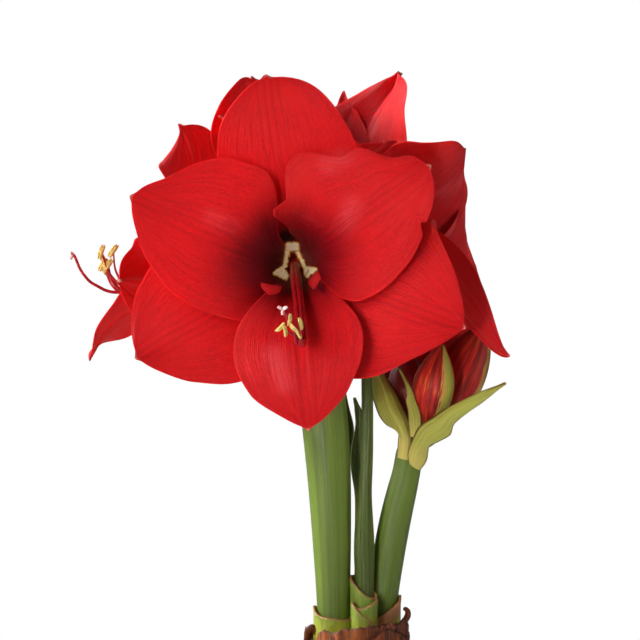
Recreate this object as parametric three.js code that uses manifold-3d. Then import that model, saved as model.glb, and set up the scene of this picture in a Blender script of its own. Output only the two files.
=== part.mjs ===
// Potted amaryllis in bloom: one bulb in a round pot, two flower stems, four red trumpets
// on the left stem and three closed buds on the right one. Millimetres, Z up, pot base on Z = 0,
// bulb and pot on the Z axis, the front flower faces -Y.
import * as THREE from 'three';
import Module from 'manifold-3d';

const wasm = await Module();
wasm.setup();

// pot and soil
const POT_HEIGHT = 135;
const POT_BASE_RADIUS = 52;
const POT_RIM_RADIUS = 80;
const POT_WALL = 5;
const POT_FLOOR = 6;
const POT_COLLAR = 23;
const DRAIN_HOLE_RADIUS = 4.5;
const DRAIN_HOLE_PLACE = 30;
const SOIL_TOP = 117;
// clear distance kept between neighbouring parts
const GAP = 0.3;
// blades
const TEPAL_THICK = 1.0;
const LEAF_THICK = 1.8;
const BRACT_THICK = 1.1;

const vec = (a) => new THREE.Vector3(a[0], a[1], a[2]);
const rad = THREE.MathUtils.degToRad;

// Smooth value of an evenly spaced list at place s from 0 to 1.
function along(values, s) {
  const n = values.length - 1;
  const x = Math.min(Math.max(s, 0), 1) * n;
  const i = Math.min(Math.floor(x), n - 1);
  const f = x - i;
  const p0 = values[Math.max(i - 1, 0)];
  const p1 = values[i];
  const p2 = values[i + 1];
  const p3 = values[Math.min(i + 2, n)];
  const m1 = (p2 - p0) / 2;
  const m2 = (p3 - p1) / 2;
  const a = 2 * p1 - 2 * p2 + m1 + m2;
  const b = 3 * p2 - 3 * p1 - 2 * m1 - m2;
  return ((a * f + b) * f + m1) * f + p1;
}

function alongPoints(points, s) {
  return new THREE.Vector3(
    along(points.map((p) => p[0]), s),
    along(points.map((p) => p[1]), s),
    along(points.map((p) => p[2]), s),
  );
}

function smooth(x) {
  const c = Math.min(Math.max(x, 0), 1);
  return c * c * (3 - 2 * c);
}

// A closed solid from corner points and triangles that face out.
function solid(points, triangles) {
  const mesh = new wasm.Mesh({
    numProp: 3,
    vertProperties: new Float32Array(points.flatMap((p) => [p.x, p.y, p.z])),
    triVerts: new Uint32Array(triangles.flat()),
  });
  return new wasm.Manifold(mesh);
}

function joined(parts) {
  return parts.reduce((a, b) => a.add(b));
}

function less(body, tools) {
  return tools.reduce((a, b) => a.subtract(b), body);
}

// The body without inner shells: pockets closed in between blades become solid.
function filled(body) {
  const { vertProperties, triVerts } = body.getMesh();
  const parent = Array.from({ length: vertProperties.length / 3 }, (_, i) => i);
  const find = (i) => {
    let k = i;
    while (parent[k] !== k) {
      parent[k] = parent[parent[k]];
      k = parent[k];
    }
    return k;
  };
  for (let t = 0; t < triVerts.length; t += 3) {
    parent[find(triVerts[t + 1])] = find(triVerts[t]);
    parent[find(triVerts[t + 2])] = find(triVerts[t]);
  }
  const corner = (i) => new THREE.Vector3().fromArray(vertProperties, 3 * i);
  const volumes = new Map();
  for (let t = 0; t < triVerts.length; t += 3) {
    const [a, b, c] = [0, 1, 2].map((k) => corner(triVerts[t + k]));
    const shell = find(triVerts[t]);
    volumes.set(shell, (volumes.get(shell) ?? 0) + a.dot(b.cross(c)) / 6);
  }
  const kept = [];
  for (let t = 0; t < triVerts.length; t += 3) {
    if (volumes.get(find(triVerts[t])) > 0) kept.push(triVerts[t], triVerts[t + 1], triVerts[t + 2]);
  }
  const used = [...new Set(kept)];
  const place = new Map(used.map((v, i) => [v, i]));
  return new wasm.Manifold(new wasm.Mesh({
    numProp: 3,
    vertProperties: new Float32Array(used.flatMap((v) => corner(v).toArray())),
    triVerts: new Uint32Array(kept.map((v) => place.get(v))),
  }));
}

// Closed skin over rings of equal count; the first and last ring are closed by a middle point.
function skin(rings) {
  const n = rings[0].length;
  const points = rings.flat();
  const triangles = [];
  for (let j = 0; j + 1 < rings.length; j += 1) {
    for (let i = 0; i < n; i += 1) {
      const a = j * n + i;
      const b = j * n + ((i + 1) % n);
      triangles.push([a, b, b + n], [a, b + n, a + n]);
    }
  }
  const middle = (ring) => ring.reduce((s, p) => s.add(p), new THREE.Vector3()).divideScalar(n);
  const first = points.push(middle(rings[0])) - 1;
  const last = points.push(middle(rings[rings.length - 1])) - 1;
  const end = (rings.length - 1) * n;
  for (let i = 0; i < n; i += 1) {
    const k = (i + 1) % n;
    triangles.push([first, k, i], [last, end + i, end + k]);
  }
  return solid(points, triangles);
}

// Round body on an axis through base along dir; stations are [height, radius], shape may vary
// the radius and the height by angle.
function turned(stations, sides, base = [0, 0, 0], dir = [0, 0, 1], shape = null) {
  const axis = vec(dir).normalize();
  const turn = new THREE.Quaternion().setFromUnitVectors(new THREE.Vector3(0, 0, 1), axis);
  const rings = stations.map(([h, r], j) => Array.from({ length: sides }, (_, i) => {
    const angle = (2 * Math.PI * i) / sides;
    const [rr, hh] = shape ? shape(r, h, angle, j) : [r, h];
    const p = new THREE.Vector3(rr * Math.cos(angle), rr * Math.sin(angle), hh);
    return p.applyQuaternion(turn).add(vec(base));
  }));
  return skin(rings);
}

// Bent round rod; points are [x, y, z], radii follow the length.
function rod(points, radii, sides, steps) {
  const places = Array.from({ length: steps + 1 }, (_, k) => alongPoints(points, k / steps));
  let side = new THREE.Vector3(0.31, 0.87, 0.22).normalize();
  const rings = places.map((p, k) => {
    const before = places[Math.max(k - 1, 0)];
    const after = places[Math.min(k + 1, steps)];
    const axis = after.clone().sub(before).normalize();
    side = side.clone().sub(axis.clone().multiplyScalar(side.dot(axis))).normalize();
    const other = axis.clone().cross(side);
    const r = along(radii, k / steps);
    return Array.from({ length: sides }, (_, i) => {
      const angle = (2 * Math.PI * i) / sides;
      return p.clone()
        .add(side.clone().multiplyScalar(r * Math.cos(angle)))
        .add(other.clone().multiplyScalar(r * Math.sin(angle)));
    });
  });
  return skin(rings);
}

// Closed blade about a grid of points; both faces are split alike.
function blade(grid, thick) {
  const rows = grid.length - 1;
  const cols = grid[0].length - 1;
  const front = [];
  const back = [];
  for (let j = 0; j <= rows; j += 1) {
    for (let i = 0; i <= cols; i += 1) {
      const up = grid[Math.min(j + 1, rows)][i].clone().sub(grid[Math.max(j - 1, 0)][i]);
      const across = grid[j][Math.min(i + 1, cols)].clone().sub(grid[j][Math.max(i - 1, 0)]);
      const normal = across.cross(up).normalize().multiplyScalar(thick / 2);
      front.push(grid[j][i].clone().add(normal));
      back.push(grid[j][i].clone().sub(normal));
    }
  }
  const total = front.length;
  const at = (j, i) => j * (cols + 1) + i;
  const triangles = [];
  for (let j = 0; j < rows; j += 1) {
    for (let i = 0; i < cols; i += 1) {
      const a = at(j, i);
      const b = at(j, i + 1);
      const c = at(j + 1, i + 1);
      const d = at(j + 1, i);
      const pairs = i < cols / 2 ? [[a, b, c], [a, c, d]] : [[a, b, d], [b, c, d]];
      for (const [p, q, r] of pairs) {
        triangles.push([p, q, r], [p + total, r + total, q + total]);
      }
    }
  }
  const loop = [];
  for (let i = 0; i < cols; i += 1) loop.push([at(0, i), at(0, i + 1)]);
  for (let j = 0; j < rows; j += 1) loop.push([at(j, cols), at(j + 1, cols)]);
  for (let i = cols; i > 0; i -= 1) loop.push([at(rows, i), at(rows, i - 1)]);
  for (let j = rows; j > 0; j -= 1) loop.push([at(j, 0), at(j - 1, 0)]);
  for (const [p, q] of loop) triangles.push([q, p, p + total], [q, p + total, q + total]);
  return solid([...front, ...back], triangles);
}

// Flower tepals.
// base: foot of the tube; faces: turn, lift and roll of the flower in degrees.
// Each tepal: at = place round the axis, long = length, root = radius of its foot, flare = lean
// from the axis, wide = half widths of its two sides, cup = lift of its sides, twist, sway.
const EVEN = [5.5, 11, 24, 37, 42, 41, 34, 22];
const scaled = (k) => EVEN.map((w) => w * k);

const FLOWERS = {
  front: {
    base: [-37, -28, 409],
    faces: [0, 1.5, 0],
    tepals: [
      {
        name: 'topSepal',
        at: 98.5, long: 136.2, root: 8, flare: [10, 28, 58, 80, 96], tip: 0.2,
        wide: [
          [9.1, 20.6, 31.8, 41.1, 46.2, 43.6, 36.9, 35.5],
          [9.7, 17.9, 25.6, 31.7, 34.6, 33.7, 28.8, 21.1],
        ],
        cup: [[0, 0, 0, 10, 25], [0, 0, 0, 10, 25]],
      },
      {
        name: 'lowerLeftSepal',
        at: 210.3, long: 129.9, root: 8, flare: [10, 28, 58, 82, 92],
        wide: [
          [8.8, 19.5, 29.9, 38.6, 43.6, 42.9, 32.9, 22.5],
          [10, 20.8, 31.1, 39.4, 43.2, 39.6, 27.5, 15.1],
        ],
      },
      {
        name: 'lowerRightSepal',
        at: 339.8, long: 128.3, root: 8, flare: [10, 28, 58, 82, 92],
        wide: [
          [10.7, 23.7, 36.2, 46.2, 50.2, 43.5, 25.1, 12.5],
          [8.7, 21.9, 34.7, 45.6, 51.7, 49.5, 32.3, 19.6],
        ],
      },
      {
        name: 'upperRightPetal',
        at: 36.2, long: 134.9, root: 6.6, flare: [6, 18, 46, 76, 84], tip: 0.1,
        wide: [
          [4, 7.8, 12, 17.2, 24.7, 39.7, 41, 38.8, 35.5, 29, 20.2, 15.3],
          [4, 6, 8, 11, 24, 46, 46, 45.2, 34.1, 31.4, 15.7, 16.4],
        ],
      },
      {
        name: 'upperLeftPetal',
        at: 157, long: 141.8, root: 6.6, flare: [6, 18, 46, 76, 84],
        wide: [
          [5.1, 7, 8.5, 10, 14, 22, 36, 41.2, 40.5, 32, 19.5, 15.4],
          [11.3, 22, 32.1, 39.9, 43.5, 40.6, 29.3, 16.5],
        ],
      },
      {
        name: 'bottomPetal',
        at: 274.9, long: 133.7, root: 6.6, flare: [6, 18, 44, 72, 84],
        wide: [
          [3.9, 4.8, 9.6, 24.7, 36.3, 37.9, 29.8, 14.7],
          [3.9, 6.6, 11.7, 23.4, 34.6, 33.7, 24.7, 15.2],
        ],
      },
    ],
  },
  left: {
    base: [-60, 22, 386],
    faces: [-80, 0, 0],
    tepals: [
      {
        name: 'upperSepal',
        at: 102.6, long: 118.9, root: 8, flare: [19.2, 49.8, 81.3, 88.2, 61.2],
        twist: [-0.3, -1.1, -29.1, -56.6],
        wide: [
          [9.7, 18.7, 27.2, 33.8, 36.6, 34.8, 19.6, 3.4],
          [7.8, 15.4, 22.8, 28.9, 33.2, 35.3, 35.8, 35.8],
        ],
        cup: [[0, 5, 15, 25, 20], [0, 0, 10, 10, 10]],
      },
      {
        name: 'nearSepal',
        at: 9.7, long: 130.7, root: 8, flare: [10.9, 26.4, 45.1, 61, 53.2], twist: [-1, 10.7, -3],
        wide: [
          [10.9, 17.5, 23.4, 27.3, 27.6, 23.8, 16.6, 9.7],
          [10.2, 18.8, 26.8, 32.8, 34.8, 31.1, 20.9, 17.4],
        ],
        cup: [[-1, -0.6, 1.7, 9.2, 23.5], [-1.8, 2.1, 8.3, 16.6, 26]],
      },
      {
        name: 'farSepal',
        at: 205, long: 84, root: 8, flare: [10, 28, 54, 70, 76],
        wide: [scaled(0.75), scaled(0.75)],
      },
      {
        name: 'nearPetal',
        at: 55, long: 112, root: 6.6, flare: [8, 26, 58, 88, 100],
        wide: [scaled(0.8), scaled(0.8)],
      },
      {
        name: 'farPetal',
        at: 155, long: 104, root: 6.6, flare: [6, 18, 46, 76, 84],
        wide: [scaled(0.9), scaled(0.9)],
      },
      {
        name: 'lowerPetal',
        at: 294.7, long: 120, root: 6.6, flare: [-10.1, -8.5, 10, 35.9, 69.4], twist: [-1.3, 5.7, -0.3],
        wide: [
          [5.9, 12.2, 18.4, 23.7, 27.5, 29.8, 28.1, 27],
          [5.3, 12.3, 19.1, 25.2, 29.9, 32.6, 33.4, 32],
        ],
        cup: [[-0.7, 2.2, 5.8, 4.3, 5.1], [-1.2, 2.8, 8.1, 12.8, 4.2]],
      },
    ],
  },
  right: {
    base: [0, 26, 390],
    faces: [75, 8, 0],
    tepals: [
      {
        name: 'upperSepal',
        at: 73.7, long: 106.9, root: 8, flare: [20.9, 42.4, 48.7, 35.7, 81.6], twist: [3.5, -31.4, 11],
        wide: [
          [8.7, 16.6, 24.2, 30.5, 34.4, 35.8, 35.1, 33.4],
          [5.4, 16.9, 28.5, 39.5, 48.7, 54.7, 54.2, 56.8],
        ],
        cup: [[1.5, 2.9, 2.5, -4.7, -27.7], [0.8, -5.9, -13.6, -16.2, -10.7]],
      },
      {
        name: 'nearSepal',
        at: 207.9, long: 120.2, root: 8, flare: [6.5, 23.2, 41.6, 44.9, 33.6], tip: 0.1,
        sway: [-7.6, -18.8, -11.9, -9, 13.1], twist: [-1.8, 8.3, -2.8, -18.8],
        wide: [
          [12.9, 27.2, 39.9, 47.3, 46.3, 37.7, 26.1, 4],
          [9.5, 17.1, 23.8, 28.2, 27, 20, 12, 7],
        ],
        cup: [[0, 0, 0, 10, 15], [0, 0, 0, 10, 15]],
      },
      {
        name: 'farSepal',
        at: 3.5, long: 118.3, root: 8, flare: [9.8, 33.7, 61.3, 83.4, 93.2], twist: [-1.1, 13.2, -8.3],
        wide: [
          [8.8, 16.8, 24.4, 30.6, 34.4, 35.4, 34.2, 32],
          [5.9, 15.9, 25.9, 35.3, 43.3, 49.2, 51.6, 50.3],
        ],
        cup: [[-0.8, 0, 1.6, 5, 9.2], [-0.2, 4.6, 9.7, 9.3, -5.7]],
      },
      {
        name: 'farPetal',
        at: 38, long: 106, root: 6.6, flare: [10, 30, 62, 88, 100],
        wide: [scaled(0.8), scaled(0.8)],
      },
      {
        name: 'nearPetal',
        at: 140, long: 110, root: 6.6, flare: [10, 32, 66, 94, 110],
        wide: [scaled(0.8), scaled(0.8)],
      },
      {
        name: 'lowerPetal',
        at: 306, long: 84, root: 6.6, flare: [10, 34, 70, 100, 116],
        wide: [scaled(0.6), scaled(0.6)],
      },
    ],
  },
  back: {
    base: [-20, 46, 424],
    faces: [0, 80, 0],
    tepals: [
      {
        name: 'rightSepal',
        at: 27.4, long: 108.3, root: 8, flare: [7.2, 19.7, 27.4, 27.3, 23.6],
        keel: 2, twist: [-0.7, 21.3, -1.2],
        wide: [
          [8.3, 17.6, 26.7, 34.3, 38.8, 38.4, 36.7, 37.9],
          [10.4, 19, 27.1, 33, 34.8, 30.7, 19.5, 6.7],
        ],
        cup: [[-0.3, 5.2, 11.1, 28.6, 17.3], [0.9, 12.7, 23.4, 28.6, 23.6]],
      },
      {
        name: 'leftSepal',
        at: 138.4, long: 107.5, root: 8, flare: [13.2, 30, 37.2, 24.1, 34.4], twist: [2.2, -16.8, 13.2],
        wide: [
          [8.3, 15.9, 23.1, 29, 32.6, 33.6, 32.5, 30.3],
          [5.7, 16, 26.2, 35.7, 43.5, 48.4, 47.5, 45.2],
        ],
        cup: [[-1, 0.4, 2.8, 7.1, 10.7], [-1.3, -5, -7.2, -0.7, 32.9]],
      },
      {
        name: 'nearSepal',
        at: 262, long: 108, root: 8, flare: [16, 34, 48, 56, 60],
        wide: [scaled(0.8), scaled(0.8)],
        cup: [[0, 10, 20, 20, 20], [0, 10, 20, 20, 20]],
      },
      {
        name: 'farPetal',
        at: 72.8, long: 92.1, root: 6.6, flare: [6, 16, 26, 30, 30],
        wide: [
          [9.4, 15.1, 20.3, 23.7, 23.8, 20.1, 12.8, 3.9],
          [10.8, 14.3, 17.1, 17.8, 15.4, 10, 4, 3.6],
        ],
        cup: [[0, 0, 10, 20, 20], [0, 0, 10, 20, 20]],
      },
      {
        name: 'leftPetal',
        at: 205, long: 104, root: 6.6, flare: [10, 24, 42, 50, 60],
        wide: [scaled(0.8), scaled(0.8)],
        cup: [[0, 0, 10, 20, 20], [0, 0, 10, 20, 20]],
      },
      {
        name: 'rightPetal',
        at: 310, long: 84, root: 6.6, flare: [10, 24, 34, 50, 60],
        wide: [scaled(0.7), scaled(0.7)],
        cup: [[0, 10, 20, 20, 20], [0, 10, 20, 20, 20]],
      },
    ],
  },
};

function flowerFrame(flower) {
  const [turn, lift, roll] = flower.faces.map(rad);
  const out = new THREE.Vector3(
    Math.sin(turn) * Math.cos(lift),
    -Math.cos(turn) * Math.cos(lift),
    Math.sin(lift),
  );
  const right = out.clone().negate().cross(new THREE.Vector3(0, 0, 1)).normalize();
  const up = right.clone().cross(out.clone().negate());
  const x = right.clone().multiplyScalar(Math.cos(roll)).addScaledVector(up, Math.sin(roll));
  const y = up.clone().multiplyScalar(Math.cos(roll)).addScaledVector(right, -Math.sin(roll));
  return { base: vec(flower.base), x, y, out };
}

// Point of a flower at x, y from its axis and a along it.
function inFlower(frame, [x, y, a]) {
  return frame.base.clone()
    .addScaledVector(frame.x, x)
    .addScaledVector(frame.y, y)
    .addScaledVector(frame.out, a);
}

// Distance from the axis and along it for the midrib, by even steps.
function midrib(tepal, steps = 60) {
  const places = [[tepal.root, 0]];
  for (let k = 0; k < steps; k += 1) {
    const lean = rad(along(tepal.flare, (k + 0.5) / steps));
    const [r, a] = places[k];
    const step = tepal.long / steps;
    places.push([r + step * Math.sin(lean), a + step * Math.cos(lean)]);
  }
  return (s) => {
    const x = s * steps;
    const i = Math.min(Math.floor(x), steps - 1);
    const f = x - i;
    return [0, 1].map((k) => places[i][k] * (1 - f) + places[i + 1][k] * f);
  };
}

function halfWidth(tepal, s, side) {
  const width = along(tepal.wide[side < 0 ? 0 : 1], s);
  const start = 1 - (tepal.tip ?? 0.16);
  const round = s > start ? Math.sqrt(Math.max(0, 1 - ((s - start) / (1 - start)) ** 2)) : 1;
  return width * round;
}

function tepalGrid(frame, tepal, rows, cols) {
  const rib = midrib(tepal);
  const cup = tepal.cup ?? [[0, 0], [0, 0]];
  const grid = [];
  for (let j = 0; j <= rows; j += 1) {
    const q = j / rows;
    const s = 0.72 * q + 0.28 * Math.sin((Math.PI / 2) * q);
    const [r, a] = rib(s);
    const lean = rad(along(tepal.flare, s));
    const angle = rad(tepal.at + along(tepal.sway ?? [0, 0], s));
    const spoke = frame.x.clone().multiplyScalar(Math.cos(angle))
      .addScaledVector(frame.y, Math.sin(angle));
    const round = frame.y.clone().multiplyScalar(Math.cos(angle))
      .addScaledVector(frame.x, -Math.sin(angle));
    const inward = frame.out.clone().multiplyScalar(Math.sin(lean))
      .addScaledVector(spoke, -Math.cos(lean));
    const twist = rad(along(tepal.twist ?? [0, 0], s));
    const across = round.clone().multiplyScalar(Math.cos(twist))
      .addScaledVector(inward, Math.sin(twist));
    const face = inward.clone().multiplyScalar(Math.cos(twist))
      .addScaledVector(round, -Math.sin(twist));
    const middle = frame.base.clone().addScaledVector(spoke, r).addScaledVector(frame.out, a);
    const funnel = (Math.max(0, Math.cos(lean)) / Math.max(r, 1)) * (1 - smooth((s - 0.35) / 0.3));
    const row = [];
    for (let i = 0; i <= cols; i += 1) {
      const t = -1 + (2 * i) / cols;
      const side = t < 0 ? -1 : 1;
      const half = Math.min(Math.max(halfWidth(tepal, s, side), 0.7), 1.3 / Math.max(funnel, 1e-6));
      const x = Math.abs(t) * half;
      const lift = rad(along(cup[side < 0 ? 0 : 1], s));
      const bend = funnel + lift / Math.max(half, 6);
      const flat = Math.abs(bend * x) < 1e-4;
      const out = flat ? x : Math.sin(bend * x) / bend;
      let rise = flat ? 0 : (1 - Math.cos(bend * x)) / bend;
      rise -= (tepal.keel ?? 0) * Math.exp(-((x / 5) ** 2)) * smooth((s - 0.3) / 0.2);
      row.push(middle.clone().addScaledVector(across, side * out).addScaledVector(face, rise));
    }
    grid.push(row);
  }
  return grid;
}

const TUBE_BOTTOM = -8;
const TUBE_FLOOR = -5;
const TUBE_BORE = 5.3;

function flower(flowerTable, rows, cols) {
  const frame = flowerFrame(flowerTable);
  const dir = frame.out.toArray();
  const tube = turned([[TUBE_BOTTOM, 6.2], [-4, 8.6], [6, 9.2]], 10, flowerTable.base, dir);
  const bore = turned([[TUBE_FLOOR, TUBE_BORE], [8, TUBE_BORE]], 10, flowerTable.base, dir);
  const tepals = flowerTable.tepals.map((t) => blade(tepalGrid(frame, t, rows, cols), TEPAL_THICK));
  return filled(joined([tube, ...tepals]).subtract(bore));
}

// Six stamens and the style of a flower on one short column that stands in the tube.
// run: the bundle's line in the flower's own x, y, a; heads: where anthers and stigma end.
const BUNDLES = {
  front: {
    run: [[0, 0, 1], [0, -3, 20], [1, -11, 44], [3, -27, 72], [4, -42, 88]],
    steps: 4,
    heads: [
      [-7.5, -33.8, 101],
      [-5, -36, 101],
      [-2.5, -29.7, 102],
      [0, -33.8, 102],
      [3.6, -32.1, 101],
      [2.5, -38, 98],
    ],
    stigma: [-6, -24, 106],
  },
  left: {
    run: [[0, 0, 1], [0, 3.5, 16], [0, 8, 30], [0, 10.5, 46], [0, 9, 64], [0, 6, 80]],
    steps: 4,
    heads: [[4, 30, 96], [2, 30, 89], [-2, 22, 95], [3, 22, 92], [-4, 19, 94], [-1, 26, 97]],
    stigma: [0, 29, 114],
  },
  right: {
    run: [[0, 0, 1], [0, -4, 16], [0, -8, 30], [0, -10, 44]],
    steps: 5,
    heads: [[6, -2, 58], [-6, -3, 58], [3, 4, 62], [-3, 6, 57], [6, -7, 56], [-5, -8, 60]],
    stigma: [0, 8, 70],
  },
  back: {
    run: [[0, 0, 1], [0, 0, 16], [0, -1, 30], [0, -2, 42], [0, -3, 52]],
    steps: 5,
    heads: [[6, 2, 64], [-6, 1, 64], [4, 6, 70], [-4, 7, 66], [5, -6, 66], [-5, -6, 68]],
    stigma: [0, 4, 80],
  },
};

function stamens(name) {
  const frame = flowerFrame(FLOWERS[name]);
  const { run, steps, heads, stigma } = BUNDLES[name];
  const dir = frame.out.toArray();
  const base = FLOWERS[name].base;
  const parts = [turned([[TUBE_FLOOR + GAP, 4.6], [2, 4.6]], 6, base, dir)];
  const ends = [...heads, stigma];
  ends.forEach((end, k) => {
    const angle = (2 * Math.PI * k) / 6;
    const spread = k < 6 ? 2.2 : 0;
    const path = run.map(([x, y, a]) => [
      x + spread * Math.cos(angle),
      y + spread * Math.sin(angle),
      a,
    ]);
    const bend = path[path.length - 1];
    path.push([(bend[0] + end[0]) / 2, bend[1] * 0.6 + end[1] * 0.4, (bend[2] + end[2]) / 2 + 4]);
    path.push(end);
    const world = path.map((p) => inFlower(frame, p).toArray());
    parts.push(rod(world, k < 6 ? [0.9, 0.8, 0.7] : [1, 0.9, 0.8], 3, steps));
    const tip = inFlower(frame, end);
    const lie = [frame.x, frame.y, frame.out][k % 3].clone().addScaledVector(frame.out, 0.4);
    const size = k < 6 ? [[-5, 0.8], [0, 1.9], [5, 0.8]] : [[-1.4, 1], [0, 1.9], [1.4, 1]];
    parts.push(turned(size, 4, tip.toArray(), lie.toArray()));
  });
  return filled(joined(parts));
}

// Stems: stations are [x, y, z, half width, half depth], level rings.
const LEFT_STEM = [
  [-13.6, -2, 155, 10.2, 8.8],
  [-13.8, -2, 180, 10.3, 8.8],
  [-14.3, -2, 204.5, 10.2, 8.8],
  [-15.3, -2, 241.2, 11.7, 9.4],
  [-16.5, -2, 271.7, 12.9, 9.8],
  [-18, -2, 296.1, 13.8, 10],
  [-19.5, -2, 314.3, 14.1, 10],
  [-21.4, -2, 338.6, 13.5, 10],
  [-21.8, -1, 354, 12.2, 10],
  [-21.6, 0, 361, 10, 9],
  [-21.5, 1, 365, 6, 6],
];
const RIGHT_STEM = [
  [12.6, 8, 155, 9.6, 8.8],
  [13.1, 8, 178.2, 9.8, 8.8],
  [15.8, 9, 202.7, 9.4, 8.6],
  [19.1, 9, 227.4, 9.8, 8.4],
  [23.5, 8, 252.1, 9.8, 8.4],
  [27.6, 7, 270.6, 9.3, 8.2],
  [30.4, 6, 283, 8.6, 8],
  [32.5, 5, 295.4, 8.3, 8],
  [33, 5, 300, 6, 6],
];

function stem(stations, grow, drop = 0) {
  const rings = stations.map(([x, y, z, rx, ry], j) => Array.from({ length: 12 }, (_, i) => {
    const angle = (2 * Math.PI * i) / 12;
    const lower = j === 0 ? drop : 0;
    return new THREE.Vector3(
      x + (rx + grow) * Math.cos(angle),
      y + (ry + grow) * Math.sin(angle),
      z - lower,
    );
  }));
  return skin(rings);
}

// Flower stalks with the green ovary under each tube; from = place on the stem's head.
const STALKS = { front: [-24, -5, 359], left: [-27, 3, 358], right: [-15, 5, 358], back: [-20, 6, 360] };
const OVARY_TOP = TUBE_BOTTOM - GAP;
const OVARY = [[0, 5.8], [-3, 7], [-8, 6.7], [-14, 3.8]];

function stalk(name) {
  const frame = flowerFrame(FLOWERS[name]);
  const stations = [...OVARY].reverse().map(([h, r]) => [OVARY_TOP + h, r]);
  const ovary = turned(stations, 8, FLOWERS[name].base, frame.out.toArray());
  const low = vec(STALKS[name]);
  const top = inFlower(frame, [0, 0, OVARY_TOP - 12]);
  const bend = inFlower(frame, [0, 0, OVARY_TOP - 24]);
  const rise = low.clone().lerp(top, 0.35).add(new THREE.Vector3(0, 0, 6)).lerp(bend, 0.4);
  const near = bend.clone().lerp(top, 0.55);
  const line = [low, rise, near, top].map((p) => p.toArray());
  return joined([ovary, rod(line, [4.6, 4.3, 4.1, 4], 6, 5)]);
}

// Buds: from base to tip, widest radius, turn of the three ribs.
const BUDS = {
  front: { base: [42.4, -3, 310.8], tip: [50.9, -12, 360.5], radius: 12.6, roll: 20 },
  right: { base: [49, 14, 307.1], tip: [80, 20, 373.4], radius: 15.3, roll: -10 },
  left: { base: [32, 18, 308], tip: [30.5, 20, 358], radius: 11.5, roll: 0 },
};
const BUD_PROFILE = [0.3, 0.62, 0.86, 0.98, 1, 0.92, 0.74, 0.46, 0.12];

function bud({ base, tip, radius, roll }, grow) {
  const axis = vec(tip).sub(vec(base));
  const long = axis.length();
  const n = BUD_PROFILE.length - 1;
  const stations = BUD_PROFILE.map((w, k) => [(long * k) / n, radius * w]);
  stations[0][0] -= grow;
  stations[n][0] += grow;
  const ribs = (r, h, angle) => [r * (1 + 0.05 * Math.cos(3 * angle + rad(roll))) + grow, h];
  return turned(stations, 10, base, axis.toArray(), ribs);
}

function budStalk({ base, tip }) {
  const axis = vec(tip).sub(vec(base)).normalize();
  const before = vec(base).addScaledVector(axis, -6);
  const line = [[33, 5, 293], before.clone().lerp(new THREE.Vector3(33, 5, 293), 0.4).toArray(),
    before.toArray(), base];
  return rod(line, [3.4, 3.4, 3.4, 3.4], 6, 4);
}

// Leaves and bracts: each row is left margin, middle, right margin.
const LEAF_FRONT = [
  [[-0.5, -4, 155], [4.3, -8, 155], [9.2, -4, 155]],
  [[-0.5, -4, 180], [4.3, -8, 180], [9.2, -4, 180]],
  [[-1.2, -4, 217.1], [3.6, -9, 217.9], [10.1, -3, 216.9]],
  [[-1.4, -4, 238.5], [3, -9, 239.2], [10.1, -3, 238.3]],
  [[0, -3, 265.8], [3.6, -9, 266.5], [8.9, -4, 265.9]],
  [[2.4, -3, 284], [4.2, -8, 284.6], [9.1, -5, 284.3]],
  [[2.7, -3, 302.3], [4.8, -8, 302.8], [9.3, -5, 302.5]],
  [[2.8, -3, 320.5], [5.3, -8, 321], [9.6, -5, 320.7]],
  [[3, -3, 339.9], [5.9, -8, 340.3], [8.7, -5, 340.1]],
  [[3.9, -3, 356.9], [5.9, -7, 357.1], [7.8, -5, 357]],
  [[5.4, -4, 366], [6, -5, 366.1], [6.6, -4, 366]],
];
const LEAF_DARK = [
  [[-1.6, 3, 155], [0.2, 6, 155], [2, 4, 155]],
  [[-1.6, 3, 180], [0.2, 6, 180], [2, 4, 180]],
  [[-1.4, 4, 215.8], [1.1, 7, 215.3], [3.2, 5, 215.7]],
  [[-0.8, 5, 237.2], [2, 8, 236.7], [4.4, 6, 237]],
  [[-0.9, 6, 264.6], [2.2, 10, 264.1], [5.6, 8, 264.4]],
  [[-3.2, 8, 282.8], [0.2, 12, 282.3], [5.1, 10, 282.6]],
  [[-2.6, 8, 298.1], [0.2, 12, 297.7], [4.5, 10, 297.9]],
  [[-0.7, 9, 310.3], [1.4, 12, 310], [3.9, 10, 310.2]],
  [[-0.9, 9, 319.4], [0.8, 11, 319.3], [2.6, 10, 318.7]],
  [[-1.9, 9, 326.8], [-1.5, 9.4, 326.8], [-1.2, 9, 326.5]],
];
const LEAF_BEHIND = [
  [[-13.4, 17, 155], [-9, 22, 155], [-4.8, 18, 155]],
  [[-13.4, 17, 180], [-9, 22, 180], [-4.8, 18, 180]],
  [[-13.6, 17, 213.8], [-9.2, 23, 212.8], [-4.9, 18, 213.6]],
  [[-14, 17, 235.4], [-9.6, 24, 234.4], [-4.9, 18, 235.3]],
  [[-14.4, 17, 263.3], [-10, 24, 262.4], [-4.7, 18, 263.1]],
  [[-13.6, 18, 287.8], [-9.2, 25, 287.1], [-3.8, 19, 287.7]],
  [[-12.6, 18, 306.3], [-8.2, 26, 305.6], [-1.8, 20, 306.1]],
  [[-15.7, 18, 321.7], [-11.3, 26, 321], [-4.9, 20, 321.5]],
  [[-19.3, 19, 337], [-15, 26, 336.5], [-8.9, 21, 336.9]],
  [[-22.4, 20, 348], [-19.3, 24, 347.7], [-15, 22, 347.9]],
  [[-24.2, 22, 355.3], [-23.6, 23, 355.2], [-22.7, 22, 355.3]],
];
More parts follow.
